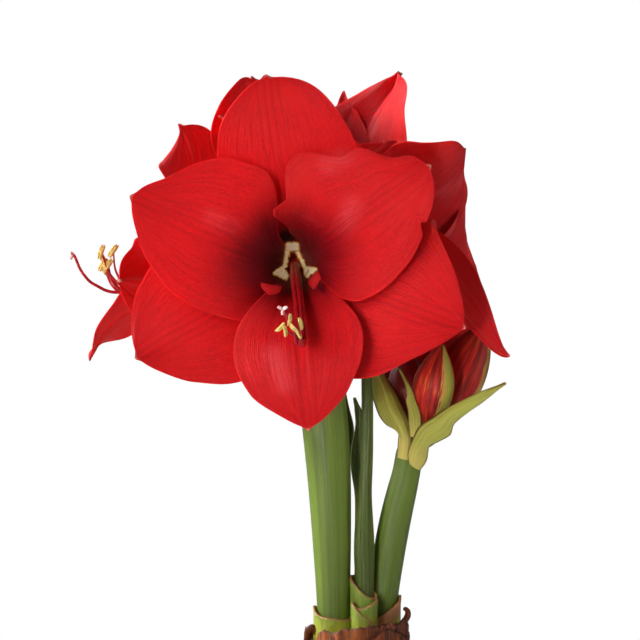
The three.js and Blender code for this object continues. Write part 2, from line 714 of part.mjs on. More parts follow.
const BRACT_LEFT = [
  [[24.4, 1, 291.5], [27.8, -4, 290.8], [31.4, -5, 290.3]],
  [[25.2, 0, 301.4], [28.4, -6, 300.8], [32.6, -6, 300.8]],
  [[24.3, 1, 306.8], [27.1, -7, 306.9], [33.2, -6, 307.4]],
  [[17.7, 3, 311.4], [24.1, -6, 312.3], [31.5, -3, 313.8]],
  [[12.9, 5, 317.4], [19.9, -4, 320], [28.5, 0, 321.5]],
  [[10.5, 7, 324.5], [16.9, -2, 327.7], [24.4, 4, 329.6]],
  [[9, 9, 331.7], [14.6, 0, 334.8], [20.2, 8, 336]],
  [[8.1, 11, 340.7], [12.2, 3, 342.5], [17.2, 10, 342.6]],
  [[7.8, 13, 348.5], [10.5, 7, 350.1], [14.2, 12, 351]],
  [[8.2, 15, 355.7], [9.3, 12, 357.1], [10.6, 14, 357.6]],
];
const BRACT_RIGHT = [
  [[31.4, -6.5, 289.3], [34.5, -5.5, 286.1], [38.3, -0.5, 283.8]],
  [[30.6, -10.5, 295.8], [35.4, -11.5, 293.5], [42.4, -4.5, 290.3]],
  [[32.9, -13.5, 302.7], [37.7, -15.5, 299.9], [44, -8.5, 299.8]],
  [[37.6, -15.5, 312], [42.9, -18.5, 307.5], [48.6, -11.5, 301.9]],
  [[45.3, -17.5, 317.6], [49.4, -20.5, 312.5], [55.8, -13.5, 306.1]],
  [[53.1, -18.5, 322.5], [55.3, -21.5, 319.2], [58, -15.5, 313.2]],
  [[61.3, -20.5, 327.5], [63, -22.5, 324], [65.1, -17.5, 319.1]],
  [[71.9, -22.5, 332.4], [73.1, -23.5, 330.1], [74.5, -20.5, 326.6]],
  [[81.4, -23.5, 336.4], [81.9, -24.5, 335], [82.7, -22.5, 333.3]],
  [[87.9, -24.5, 339.2], [88.5, -24.5, 338.6], [88.8, -24.5, 338]],
];
const BRACT_NARROW = [
  [[31.9, -9.5, 305.4], [34.2, -10.5, 304.9], [36.6, -11, 305.5]],
  [[31.2, -11, 312.8], [34.7, -13, 312.3], [38.3, -13.5, 313]],
  [[30.6, -11, 320], [34.1, -13.5, 319.6], [37.7, -14, 320.3]],
  [[29.4, -9, 327.1], [32.3, -12, 326.7], [35.3, -13, 326.8]],
  [[30, -9, 330.7], [31.8, -10.5, 331.4], [33.6, -11, 332.1]],
  [[28.3, -7, 338.4], [28.9, -7, 339], [29.5, -7, 339.6]],
  [[25, -4, 345.5], [25.3, -4, 345.8], [25.6, -4, 346.1]],
];

function stripGrid(rowsTable, rows, cols, grow = 0) {
  const grid = [];
  for (let j = 0; j <= rows; j += 1) {
    const [left, middle, right] = [0, 1, 2].map((k) => (
      alongPoints(rowsTable.map((row) => row[k]), j / rows)
    ));
    const row = [];
    for (let i = 0; i <= cols; i += 1) {
      const u = i / cols;
      const p = left.clone().multiplyScalar((1 - u) * (1 - 2 * u))
        .addScaledVector(middle, 4 * u * (1 - u))
        .addScaledVector(right, u * (2 * u - 1));
      row.push(p);
    }
    if (grow > 0) {
      const first = row[0].clone().sub(row[1]).setLength(grow);
      const last = row[cols].clone().sub(row[cols - 1]).setLength(grow);
      row[0].add(first);
      row[cols].add(last);
    }
    grid.push(row);
  }
  if (grow > 0) {
    for (const p of grid[0]) p.z -= grow;
  }
  return grid;
}

// Bulb with its dry brown coats: outer profile, ragged rim, cup for the neck.
function ragged(angle) {
  const left = 9 * Math.exp(-(((angle - 3.05) / 0.16) ** 2));
  const low = -9 * Math.exp(-(((angle - 3.85) / 0.42) ** 2));
  const right = 5 * Math.exp(-(((angle - 5.9) / 0.5) ** 2));
  return left + low + right + 1.6 * Math.sin(7 * angle + 0.6) + 1.1 * Math.sin(17 * angle);
}
const BULB_SIDES = 28;
const BULB_OUTSIDE = [
  [66, 10], [69, 22], [78, 36], [92, 46], [110, 50], [126, 49.5],
  [142, 44], [156, 37], [168, 32.6], [178, 31], [184, 31],
];
const NECK_FLOOR = 150;
const NECK_RADIUS = 28.2;

function bulbShape(grow) {
  return (r, h, angle, j) => {
    const rim = j === BULB_OUTSIDE.length - 1 ? ragged(angle) : 0;
    const bump = 0.5 * Math.sin(5 * angle + h * 0.05) + 0.3 * Math.sin(11 * angle);
    return [r + bump * Math.min(1, r / 30) + grow, h + rim];
  };
}

function bulb(grow) {
  const stations = BULB_OUTSIDE.map(([h, r], j) => [h - (j === 0 ? grow : 0), r]);
  return turned(stations, BULB_SIDES, [0, 0, 0], [0, 0, 1], bulbShape(grow));
}

// Green neck: a core in the bulb's cup and four sheaths with slanting rims.
// Each sheath: middle, half width, half depth, rim height and its slope to the right and back.
const SHEATHS = [
  { at: [-13.9, -2], half: [12.6, 11.2], rim: 197.5, slope: [-0.28, 0.1] },
  { at: [4.4, -4.5], half: [9.2, 8.2], rim: 212, slope: [-0.65, 0.35] },
  { at: [1.5, -11.5], half: [9.8, 7], rim: 196, slope: [-0.55, 0.1] },
  { at: [14.6, 8.4], half: [12.4, 11.4], rim: 199.5, slope: [0.42, 0.12] },
];

function sheath({ at, half, rim, slope }, grow = 0) {
  const stations = [160 - grow, 180, rim + grow];
  const rings = stations.map((z, j) => Array.from({ length: 14 }, (_, i) => {
    const angle = (2 * Math.PI * i) / 14;
    const x = (half[0] + grow) * Math.cos(angle);
    const y = (half[1] + grow) * Math.sin(angle);
    const tilt = j === 2 ? slope[0] * x + slope[1] * y + 0.8 * Math.sin(5 * angle) : 0;
    return new THREE.Vector3(at[0] + x, at[1] + y, z + tilt);
  }));
  return skin(rings);
}

function neck() {
  const core = turned(
    [[NECK_FLOOR + GAP, NECK_RADIUS], [172, NECK_RADIUS], [181, NECK_RADIUS - 5]], 24);
  const body = joined([core, ...SHEATHS.map((data) => sheath(data))]);
  const tools = [
    stem(LEFT_STEM, GAP, GAP),
    stem(RIGHT_STEM, GAP, GAP),
    ...LEAVES.map(([, table]) => blade(stripGrid(table, 12, 4, 2 * GAP), LEAF_THICK + 3 * GAP)),
  ];
  return less(body, tools);
}

function pot() {
  const step = POT_HEIGHT - POT_COLLAR;
  const lower = POT_RIM_RADIUS - 8;
  const outside = turned(
    [[0, POT_BASE_RADIUS], [step, lower], [step + 3, POT_RIM_RADIUS - 1],
      [POT_HEIGHT - 1.5, POT_RIM_RADIUS], [POT_HEIGHT, POT_RIM_RADIUS - 1.5]], 30);
  const inside = turned(potInside(0), 30);
  const holes = [45, 135, 225, 315].map((a) => turned(
    [[-2, DRAIN_HOLE_RADIUS], [POT_FLOOR + 2, DRAIN_HOLE_RADIUS]], 8,
    [DRAIN_HOLE_PLACE * Math.cos(rad(a)), DRAIN_HOLE_PLACE * Math.sin(rad(a)), 0]));
  return less(outside, [inside, ...holes]);
}

function potInside(shrink) {
  return [
    [POT_FLOOR + shrink, POT_BASE_RADIUS - POT_WALL - shrink],
    [POT_HEIGHT - POT_COLLAR, POT_RIM_RADIUS - 8 - POT_WALL - shrink],
    [POT_HEIGHT + 2, POT_RIM_RADIUS - POT_WALL - 1 - shrink],
  ];
}

function soil() {
  const [floor, mid] = potInside(GAP);
  const edge = (z) => mid[1] + ((z - mid[0]) * (POT_RIM_RADIUS - POT_WALL - 1 - GAP - mid[1]))
    / (POT_HEIGHT + 2 - mid[0]);
  const stations = [floor, mid, [SOIL_TOP, edge(SOIL_TOP) - 0.4], [SOIL_TOP + 1, 62], [SOIL_TOP + 1, 54]];
  const lumps = (r, h, angle, j) => {
    const lump = j > 2 ? 0.9 * Math.sin(6 * angle + j) + 0.7 * Math.sin(13 * angle + 2 * j) : 0;
    return [r, h + lump];
  };
  return turned(stations, 30, [0, 0, 0], [0, 0, 1], lumps).subtract(bulb(GAP));
}

const group = new THREE.Group();
group.name = 'potted_amaryllis';

function add(name, body, color, roughness) {
  const data = body.getMesh();
  const geometry = new THREE.BufferGeometry();
  const points = new Float32Array(data.vertProperties);
  geometry.setAttribute('position', new THREE.BufferAttribute(points, 3));
  geometry.setIndex(new THREE.BufferAttribute(new Uint32Array(data.triVerts), 1));
  geometry.computeVertexNormals();
  const material = new THREE.MeshStandardMaterial({ color, roughness, metalness: 0 });
  const mesh = new THREE.Mesh(geometry, material);
  mesh.name = name;
  group.add(mesh);
}

const LEAVES = [
  ['leaf_front', LEAF_FRONT],
  ['leaf_dark', LEAF_DARK],
  ['leaf_behind', LEAF_BEHIND],
];

add('pot', pot(), 0xb4653c, 0.8);
add('potting_soil', soil(), 0x3a2a20, 0.95);
const cup = turned([[NECK_FLOOR, NECK_RADIUS + GAP], [204, NECK_RADIUS + GAP]], 24);
const coats = less(bulb(0), [cup, ...SHEATHS.map((data) => sheath(data, GAP))]);
add('bulb', coats, 0x86502a, 0.75);
add('neck_sheaths', neck(), 0xa0973a, 0.55);

const leftStem = joined([stem(LEFT_STEM, 0), ...Object.keys(STALKS).map(stalk)]);
add('stem_left', leftStem, 0x64753a, 0.45);
const buds = Object.entries(BUDS);
const budRoom = buds.map(([, data]) => bud(data, GAP));
const rightStem = less(joined([stem(RIGHT_STEM, 0), ...Object.values(BUDS).map(budStalk)]), budRoom);
add('stem_right', rightStem, 0x62793a, 0.45);

for (const [name, table] of LEAVES) {
  add(name, blade(stripGrid(table, 12, 4), LEAF_THICK), 0x4e5522, 0.5);
}

for (const [name, data] of buds) {
  add(`bud_${name}`, bud(data, 0), 0x9b3123, 0.5);
}

// The bracts hug the stem's head, each other and the buds.
const headTools = [stem(RIGHT_STEM, GAP), ...budRoom];
const bractLeft = less(blade(stripGrid(BRACT_LEFT, 10, 4), BRACT_THICK), headTools);
add('bract_left', bractLeft, 0x7f6d2d, 0.6);
const besideLeft = blade(stripGrid(BRACT_LEFT, 10, 4, GAP), BRACT_THICK + 2 * GAP);
const bractRight = less(blade(stripGrid(BRACT_RIGHT, 11, 4), BRACT_THICK), [...headTools, besideLeft]);
add('bract_right', bractRight, 0x8c8a3c, 0.6);
const besideRight = blade(stripGrid(BRACT_RIGHT, 11, 4, GAP), BRACT_THICK + 2 * GAP);
const bractNarrow = less(
  blade(stripGrid(BRACT_NARROW, 8, 4), BRACT_THICK), [...headTools, besideLeft, besideRight]);
add('bract_narrow', bractNarrow, 0x7d7236, 0.6);

for (const name of Object.keys(FLOWERS)) {
  const [rows, cols] = name === 'front' ? [8, 6] : [7, 4];
  add(`flower_${name}`, flower(FLOWERS[name], rows, cols), 0xc8171d, 0.45);
  add(`stamens_${name}`, stamens(name), 0xb01a1e, 0.5);
}

export default group;
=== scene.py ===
import math

import bpy
import numpy as np
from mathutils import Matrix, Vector, noise


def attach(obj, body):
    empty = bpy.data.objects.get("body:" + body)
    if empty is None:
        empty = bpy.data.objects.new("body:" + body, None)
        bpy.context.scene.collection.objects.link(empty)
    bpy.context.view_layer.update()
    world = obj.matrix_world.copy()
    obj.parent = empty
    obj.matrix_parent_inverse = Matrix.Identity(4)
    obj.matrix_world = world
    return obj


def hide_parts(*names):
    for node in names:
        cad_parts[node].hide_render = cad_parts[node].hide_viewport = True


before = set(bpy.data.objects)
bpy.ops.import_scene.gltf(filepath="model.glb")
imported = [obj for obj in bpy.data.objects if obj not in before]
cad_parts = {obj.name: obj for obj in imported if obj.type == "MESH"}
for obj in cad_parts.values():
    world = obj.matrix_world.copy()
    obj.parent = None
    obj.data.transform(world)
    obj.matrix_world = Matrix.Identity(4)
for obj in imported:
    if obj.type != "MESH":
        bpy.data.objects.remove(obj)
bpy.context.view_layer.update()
scene = bpy.context.scene
mm = 0.001                    # the plant's and the pot's sizes are in millimetres
rng = np.random.default_rng(12)
print("frame loaded:", len(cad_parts), "nodes")


def paint(r, g, b):           # display colour, 0 to 255, to linear light
    return tuple(((c / 255 + 0.055) / 1.055) ** 2.4 if c > 10 else c / 3295 for c in (r, g, b)) + (1.0,)


def smooth(x):
    x = np.clip(x, 0.0, 1.0)
    return x * x * (3 - 2 * x)


def along(values, s):         # smooth reading of an evenly spaced list of numbers or points
    v = [np.asarray(p, float) for p in values]
    last = len(v) - 1
    x = min(max(s, 0.0), 1.0) * last
    i = min(int(x), last - 1)
    f = x - i
    before, here, after = v[max(i - 1, 0)], v[i], v[i + 1]
    beyond = v[min(i + 2, last)]
    slopeIn, slopeOut = (after - before) / 2, (beyond - here) / 2
    return ((2 * here - 2 * after + slopeIn + slopeOut) * f ** 3
            + (3 * after - 3 * here - 2 * slopeIn - slopeOut) * f ** 2 + slopeIn * f + here)


def wobble(p, scale, seed=0.0):   # smooth noise, -1 to 1
    return noise.noise(Vector((p[0] * scale + seed, p[1] * scale - seed, p[2] * scale + seed * 0.7)))


# Meshes are made as parts: points, faces and per-point values, joined into one object per node.
def part(points, faces, **values):
    points = np.asarray(points, float).reshape(-1, 3)
    spread = {k: np.broadcast_to(np.asarray(v, float).ravel(), len(points)) for k, v in values.items()}
    return {"points": points, "faces": list(faces), "values": spread}


def gridFaces(rows, cols, wrap=False):
    wide = cols if wrap else cols + 1
    out = []
    for j in range(rows):
        for i in range(cols):
            a, b = j * wide + i, j * wide + (i + 1) % wide
            out.append((a, b, b + wide, a + wide))
    return out


def gridNormals(grid):
    down = np.gradient(grid, axis=0)
    over = np.gradient(grid, axis=1)
    n = np.cross(over, down)
    size = np.linalg.norm(n, axis=2, keepdims=True)
    return n / np.maximum(size, 1e-9)


def sheetPart(grid, thick, face, s, t, **values):   # closed thin sheet; face is +1 or -1 along the normals
    rows, cols = grid.shape[0] - 1, grid.shape[1] - 1
    normal = gridNormals(grid) * face
    half = np.asarray(thick, float) / 2
    half = half[..., None] if half.ndim == 2 else half
    front, back = grid + normal * half, grid - normal * half
    n = (rows + 1) * (cols + 1)
    turn = face < 0
    faces = []
    for a, b, c, d in gridFaces(rows, cols):
        faces.append((a, d, c, b) if turn else (a, b, c, d))
        faces.append((b + n, c + n, d + n, a + n) if turn else (a + n, d + n, c + n, b + n))
    w = cols + 1
    rim = [i for i in range(w)] + [j * w + cols for j in range(1, rows + 1)]
    rim += [rows * w + i for i in range(cols - 1, -1, -1)] + [j * w for j in range(rows - 1, 0, -1)]
    for p, q in zip(rim, rim[1:] + rim[:1]):
        faces.append((p, q, q + n, p + n) if turn else (q, p, p + n, q + n))
    both = {k: np.concatenate([np.ravel(v), np.ravel(v)]) for k, v in values.items()}
    both["alongIt"] = np.concatenate([np.ravel(s)] * 2)
    both["across"] = np.concatenate([np.ravel(t)] * 2)
    both["inner"] = np.concatenate([np.ones(n), np.zeros(n)])
    return part(np.concatenate([front.reshape(-1, 3), back.reshape(-1, 3)]), faces, **both)


def ringsPart(rings, **values):       # skin over rings of equal length, closed at both ends
    rings = np.asarray(rings, float)
    rows, cols = rings.shape[0] - 1, rings.shape[1]
    points = rings.reshape(-1, 3)
    faces = [f[::-1] for f in gridFaces(rows, cols, wrap=True)]
    a, b, c = (points[k] for k in faces[len(faces) // 2][:3])
    if np.dot(np.cross(b - a, c - a), a - rings[rows // 2].mean(axis=0)) < 0:
        faces = [f[::-1] for f in faces]
        low, high = tuple(range(cols)), tuple(reversed(range(rows * cols, (rows + 1) * cols)))
    else:
        low, high = tuple(reversed(range(cols))), tuple(range(rows * cols, (rows + 1) * cols))
    faces += [low[::-1], high[::-1]]
    s = np.repeat(np.linspace(0, 1, rows + 1), cols)
    t = np.tile(np.arange(cols) / cols, rows + 1)
    full = {"alongIt": s, "across": t, "inner": np.zeros(len(points))}
    for k, v in values.items():
        v = np.asarray(v, float)
        full[k] = np.repeat(v, cols) if v.shape == (rows + 1,) else v
    return part(points, faces, **full)


def tubePart(points, radii, sides, steps, **values):
    places = np.array([along(points, k / steps) for k in range(steps + 1)])
    ahead = np.gradient(places, axis=0)
    side = np.array([0.31, 0.87, 0.22])
    rings = []
    for k in range(steps + 1):
        axis = ahead[k] / np.linalg.norm(ahead[k])
        side = side - axis * side.dot(axis)
        side /= np.linalg.norm(side)
        other = np.cross(axis, side)
        r = float(along(radii, k / steps))
        angle = 2 * math.pi * np.arange(sides) / sides
        rings.append(places[k] + r * (np.cos(angle)[:, None] * side + np.sin(angle)[:, None] * other))
    return ringsPart(rings, **values)


def turnedPart(stations, sides, foot=(0, 0, 0), axis=(0, 0, 1), shape=None, rows=None, **values):
    axis = np.asarray(axis, float) / np.linalg.norm(axis)
    side = np.cross(axis, (0.0, 1.0, 0.0) if abs(axis[1]) < 0.9 else (1.0, 0.0, 0.0))
    side /= np.linalg.norm(side)
    other = np.cross(axis, side)
    if rows:
        stations = [tuple(along(stations, k / rows)) for k in range(rows + 1)]
    rings = []
    for j, (h, r) in enumerate(stations):
        ring = []
        for i in range(sides):
            angle = 2 * math.pi * i / sides
            rr, hh = (r, h) if shape is None else shape(r, h, angle, j)
            ring.append(np.asarray(foot, float) + axis * hh
                        + rr * (math.cos(angle) * side + math.sin(angle) * other))
        rings.append(ring)
    return ringsPart(rings, **values)


def makePiece(name, parts, materials, nodes=()):   # parts: list of (part, material index)
    points, faces, slots = [], [], []
    keys = sorted({k for p, _ in parts for k in p["values"]})
    values = {k: [] for k in keys}
    start = 0
    for p, index in parts:
        points.append(p["points"])
        faces += [tuple(v + start for v in f) for f in p["faces"]]
        slots += [index] * len(p["faces"])
        for k in keys:
            values[k].append(p["values"].get(k, np.zeros(len(p["points"]))))
        start += len(p["points"])
    mesh = bpy.data.meshes.new(name)
    mesh.from_pydata((np.concatenate(points) * mm).tolist(), [], faces)
    for k in keys:
        mesh.attributes.new(k, "FLOAT", "POINT").data.foreach_set("value", np.concatenate(values[k]))
    for m in materials:
        mesh.materials.append(m)
    mesh.polygons.foreach_set("material_index", slots)
    mesh.polygons.foreach_set("use_smooth", [True] * len(faces))
    mesh.validate()
    mesh.update()
    piece = bpy.data.objects.new(name, mesh)
    scene.collection.objects.link(piece)
    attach(piece, "root")
    if nodes:
        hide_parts(*nodes)
    return piece


# Shader helpers
def newMaterial(name, roughness, **settings):
    material = bpy.data.materials.new(name)
    material.use_nodes = True
    shader = material.node_tree.nodes["Principled BSDF"]
    shader.inputs["Roughness"].default_value = roughness
    for socket, value in settings.items():
        shader.inputs[socket.replace("_", " ")].default_value = value
    return material, material.node_tree, shader


def plug(tree, socket, value):        # links the socket, or sets it
    if isinstance(value, bpy.types.NodeSocket):
        tree.links.new(value, socket)
    else:
        socket.default_value = value


def place(tree, kind, **inputs):      # a node with its inputs by name, or by number as in0, in1
    node = tree.nodes.new(kind)
    for name, value in inputs.items():
        numbered = name.startswith("in") and name[2:].isdigit()
        plug(tree, node.inputs[int(name[2:]) if numbered else name], value)
    return node


def sums(tree, operation, a, b=0.0, c=0.0):
    node = place(tree, "ShaderNodeMath", in0=a, in1=b, in2=c)
    node.operation = operation
    return node.outputs[0]


def times(tree, a, b):
    return sums(tree, "MULTIPLY", a, b)


def vectors(tree, operation, a, b=(0, 0, 0), c=(0, 0, 0)):
    node = place(tree, "ShaderNodeVectorMath", in0=a, in1=b, in2=c)
    node.operation = operation
    return node.outputs["Value" if operation in ("LENGTH", "DOT_PRODUCT") else "Vector"]


def stepUp(tree, value, low, high, toLow=0.0, toHigh=1.0):   # smooth change from toLow to toHigh
    node = place(tree, "ShaderNodeMapRange", in0=value, in1=low, in2=high, in3=toLow, in4=toHigh)
    node.interpolation_type = "SMOOTHSTEP"
    return node.outputs[0]


def blend(tree, amount, a, b):        # mixes two colours
    node = tree.nodes.new("ShaderNodeMix")
    node.data_type = "RGBA"
    for k, v in ((0, amount), (6, a), (7, b)):
        plug(tree, node.inputs[k], v)
    return node.outputs[2]


def reading(tree, name):              # a value stored on the mesh
    node = tree.nodes.new("ShaderNodeAttribute")
    node.attribute_name = name
    return node.outputs["Fac"]


def newGroup(name, inputs, outputs):
    group = bpy.data.node_groups.new(name, "ShaderNodeTree")
    for label, start in inputs:
        socket = group.interface.new_socket(name=label, in_out="INPUT", socket_type="NodeSocketFloat")
        socket.default_value = start
    for label in outputs:
        group.interface.new_socket(name=label, in_out="OUTPUT", socket_type="NodeSocketFloat")
    return group, group.nodes.new("NodeGroupInput"), group.nodes.new("NodeGroupOutput")


def useGroup(tree, group, **inputs):
    node = tree.nodes.new("ShaderNodeGroup")
    node.node_tree = group
    for name, value in inputs.items():
        plug(tree, node.inputs[name], value)
    return node.outputs


def veinGroup():                      # fine streaks that run from base to tip of a petal, leaf or bract
    group, start, end = newGroup("plant veins", [("Along", 0.0), ("Across", 0.0), ("Count", 30.0),
                                                 ("Run", 2.0), ("Seed", 0.0)], ["Streaks", "Fine"])
    g = start.outputs
    over, down = times(group, g["Across"], g["Count"]), times(group, g["Along"], g["Run"])
    spot = place(group, "ShaderNodeCombineXYZ", X=over, Y=down, Z=g["Seed"]).outputs[0]
    wide = place(group, "ShaderNodeTexNoise", Vector=spot, Scale=0.45, Detail=3.0, Roughness=0.6)
    fine = place(group, "ShaderNodeTexNoise", Vector=spot, Scale=1.9, Detail=2.0, Roughness=0.5)
    group.links.new(stepUp(group, wide.outputs[0], 0.36, 0.66), end.inputs["Streaks"])
    group.links.new(stepUp(group, fine.outputs[0], 0.34, 0.68), end.inputs["Fine"])
    return group


def mottleGroup():                    # soft patches in the object's own space
    group, start, end = newGroup("soft mottle", [("Scale", 40.0), ("Stretch", 1.0)], ["Patches", "Grain"])
    g = start.outputs
    spot = group.nodes.new("ShaderNodeTexCoord").outputs["Object"]
    squeeze = place(group, "ShaderNodeCombineXYZ", X=1.0, Y=1.0, Z=g["Stretch"]).outputs[0]
    shaped = vectors(group, "MULTIPLY", spot, squeeze)
    soft = place(group, "ShaderNodeTexNoise", Vector=shaped, Scale=g["Scale"], Detail=4.0)
    grain = place(group, "ShaderNodeTexNoise", Vector=shaped, Scale=times(group, g["Scale"], 9.0), Detail=2.0)
    group.links.new(soft.outputs[0], end.inputs["Patches"])
    group.links.new(grain.outputs[0], end.inputs["Grain"])
    return group


veins = veinGroup()
mottle = mottleGroup()


def veinLines(tree, count, run):      # veins by the mesh's own stored places
    return useGroup(tree, veins, Along=reading(tree, "alongIt"), Across=reading(tree, "across"),
                    Seed=reading(tree, "tone"), Count=count, Run=run)


def finishLook(tree, shader, colour, strength, distance, height):     # colour and bump of a material
    tree.links.new(colour, shader.inputs["Base Color"])
    bump = place(tree, "ShaderNodeBump", Strength=strength, Distance=distance, Height=height)
    tree.links.new(bump.outputs[0], shader.inputs["Normal"])


# Petals: one material for all four flowers
petalLook = {
    "face": paint(220, 18, 28), "faceDark": paint(180, 12, 26), "faceDeep": paint(146, 8, 18),
    "edge": paint(238, 30, 26), "back": paint(216, 20, 26), "backPale": paint(232, 66, 60),
    "throat": paint(112, 6, 20), "star": paint(250, 226, 192), "starEdge": paint(240, 200, 96),
    "starRim": paint(140, 16, 20), "hollowDark": paint(46, 4, 10), "foot": paint(110, 122, 58),
    "tip": paint(240, 170, 150), "sheen": paint(238, 84, 92),
    "throatWide": 14.0,       # radius of the dark throat, its own deep red deepened by painted shade
    "throatShift": (5.0, -3.0, 0),            # its middle is left of the tube and above it
    "throatShape": (0.78, 1.0, 1),            # and it is wider than high
    # Painted places are strokes: both ends in the flower's right and up, then half the width.
    "starStrokes": [          # pale star round the tube
        ((-3.9, 11.8), (0.9, 11.8), 1.4), ((-3.7, 9.8), (0.7, 9.8), 1.6), ((-4.4, 8), (-6.2, -0.6), 1.1),
        ((-7, -1.4), (-11.6, -4.4), 0.9), ((-7.4, -3), (-5.4, -6.6), 1.5), ((-10.6, -4.7), (-5.6, -7.6), 0.8),
        ((-9, -4), (-7.4, -5.4), 1.1), ((1.2, 8), (5.2, -0.6), 1.0), ((5.6, -1.4), (11.9, -2.5), 0.8),
        ((6.6, -3.2), (7.2, -5.6), 1.4), ((11, -3), (7, -6.4), 0.9), ((8.8, -3.2), (8, -4.6), 1.1),
    ],
    "hollow": [((-6, 17), (-0.4, 17.4), 3.6)],     # painted shade in the hollow above the star
    "sheenStrokes": [         # painted highlights where the petals shine
        ((28, 22), (33, 34), 2), ((19, 57), (27, 61), 2), ((-46, 27), (-36, 22), 1),
        ((-11, -50), (-6, -66), 2),
    ],
}


def strokeDistance(tree, spot, strokes):   # from a point to the nearest stroke's edge
    nearest = 1000.0
    for a, b, half in strokes:
        a, b = Vector((*a, 0)), Vector((*b, 0))
        away = vectors(tree, "SUBTRACT", spot, a)
        share = vectors(tree, "DOT_PRODUCT", away, (b - a) / (b - a).length_squared)
        held = place(tree, "ShaderNodeClamp", Value=share).outputs[0]
        gap = vectors(tree, "LENGTH", vectors(tree, "MULTIPLY_ADD", held, a - b, away))
        nearest = sums(tree, "MINIMUM", nearest, sums(tree, "SUBTRACT", gap, half))
    return nearest


def petalMaterial():
    look = petalLook
    # Emission lets the pale star glow: painted light
    material, tree, shader = newMaterial("petal red", 0.46, Specular_IOR_Level=0.16, Subsurface_Weight=0.5,
                                         Subsurface_Radius=(1.0, 0.12, 0.1), Subsurface_Scale=0.003,
                                         Emission_Strength=0.24)
    s, inner, half = reading(tree, "alongIt"), reading(tree, "inner"), reading(tree, "halfWide")
    away = sums(tree, "ABSOLUTE", reading(tree, "across"))
    beside = times(tree, away, half)      # from the midrib, mm
    lines, dashes = veinLines(tree, 44.0, 6.0), veinLines(tree, 60.0, 40.0)
    streaks, fine = lines["Streaks"], lines["Fine"]
    spots = useGroup(tree, mottle, Scale=26.0, Stretch=1.0)
    face = blend(tree, times(tree, streaks, 0.5), look["face"], look["faceDark"])
    face = blend(tree, times(tree, fine, 0.45), face, look["faceDark"])
    # fine light dashes along the veins: painted sparkle of the velvety face
    face = blend(tree, times(tree, dashes["Fine"], 0.6), face, look["edge"])
    face = blend(tree, stepUp(tree, spots["Patches"], 0.5, 0.75, 0.0, 0.5), face, look["edge"])

    # ribs beside the midrib, with painted shade in the grooves between them
    ribbed = times(tree, stepUp(tree, beside, 12.0, 3.0), stepUp(tree, s, 0.25, 0.5))
    ridge = times(tree, sums(tree, "COSINE", times(tree, beside, 1.5)), ribbed)
    face = blend(tree, stepUp(tree, ridge, 0.1, -0.9, 0.0, 0.3), face, look["faceDark"])

    # painted highlights, and the dark throat of deep red with painted shade, by the place in the flower
    depth = reading(tree, "fz")
    spot = place(tree, "ShaderNodeCombineXYZ", X=reading(tree, "fx"), Y=reading(tree, "fy")).outputs[0]
    # painted highlights: pinkish patches along the sheen strokes, broken by the fine veins
    gloss = stepUp(tree, strokeDistance(tree, spot, look["sheenStrokes"]), 8.0, -2.0, 0.0, 0.5)
    face = blend(tree, times(tree, gloss, stepUp(tree, fine, 0.0, 1.0, 0.4, 1.0)), face, look["sheen"])
    shaped = vectors(tree, "MULTIPLY", vectors(tree, "ADD", spot, look["throatShift"]), look["throatShape"])
    ragged = sums(tree, "MULTIPLY_ADD", fine, 5.0, vectors(tree, "LENGTH", shaped))
    ragged = sums(tree, "MULTIPLY_ADD", streaks, 4.0, ragged)
    wide = look["throatWide"]
    # the dark throat: the petals' deep red, darkened further by painted shade
    face = blend(tree, stepUp(tree, ragged, wide + 32, wide + 6), face, look["faceDeep"])
    face = blend(tree, stepUp(tree, ragged, wide + 19, wide - 1), face, look["throat"])

    # painted shade in the hollow, and the pale star with torn edges, only deep in the flower
    within = stepUp(tree, depth, 40.0, 34.0)
    torn = times(tree, sums(tree, "SUBTRACT", fine, 0.5), 1.1)
    hollow = sums(tree, "ADD", strokeDistance(tree, spot, look["hollow"]), torn)
    # painted shade: the hollow is darkened as the shade in it
    face = blend(tree, times(tree, stepUp(tree, hollow, 1.2, -1.0), within), face, look["hollowDark"])
    star = sums(tree, "ADD", strokeDistance(tree, spot, look["starStrokes"]), torn)
    face = blend(tree, times(tree, stepUp(tree, star, 1.6, 0.6), within), face, look["starRim"])
    pale = times(tree, times(tree, stepUp(tree, star, 0.5, -0.3), within), inner)
    cream = blend(tree, stepUp(tree, star, -0.2, -0.7), look["starEdge"], look["star"])
    face = blend(tree, pale, face, cream)
    # the pale star also glows a little: painted light, so it stays bright in the shaded throat
    tree.links.new(blend(tree, pale, (0, 0, 0, 1), cream), shader.inputs["Emission Color"])
    # painted glow along the margins, standing in for light shining through the thin edges
    face = blend(tree, stepUp(tree, away, 0.965, 0.995, 0.0, 0.6), face, look["edge"])

    back = blend(tree, streaks, look["back"], look["face"])
    back = blend(tree, times(tree, fine, 0.2), back, look["backPale"])
    back = blend(tree, stepUp(tree, beside, 2.6, 0.6, 0.0, 0.2), back, look["backPale"])
    back = blend(tree, stepUp(tree, s, 0.14, 0.0), back, look["foot"])
    tipMask = times(tree, stepUp(tree, s, 0.988, 0.999), stepUp(tree, away, 0.5, 0.1))
    whole = blend(tree, tipMask, blend(tree, inner, back, face), look["tip"])
    tree.links.new(stepUp(tree, fine, 0.0, 1.0, 0.42, 0.54), shader.inputs["Roughness"])
    height = sums(tree, "MULTIPLY_ADD", dashes["Fine"], 0.7, sums(tree, "ADD", streaks, fine))
    finishLook(tree, shader, whole, 0.6, 0.0004, sums(tree, "ADD", height, ridge))
    return material


evenWidths = (5.5, 11, 24, 37, 42, 41, 34, 22)    # half widths of a plain petal from foot to tip


def plainWidths(k):
    return ([w * k for w in evenWidths],) * 2
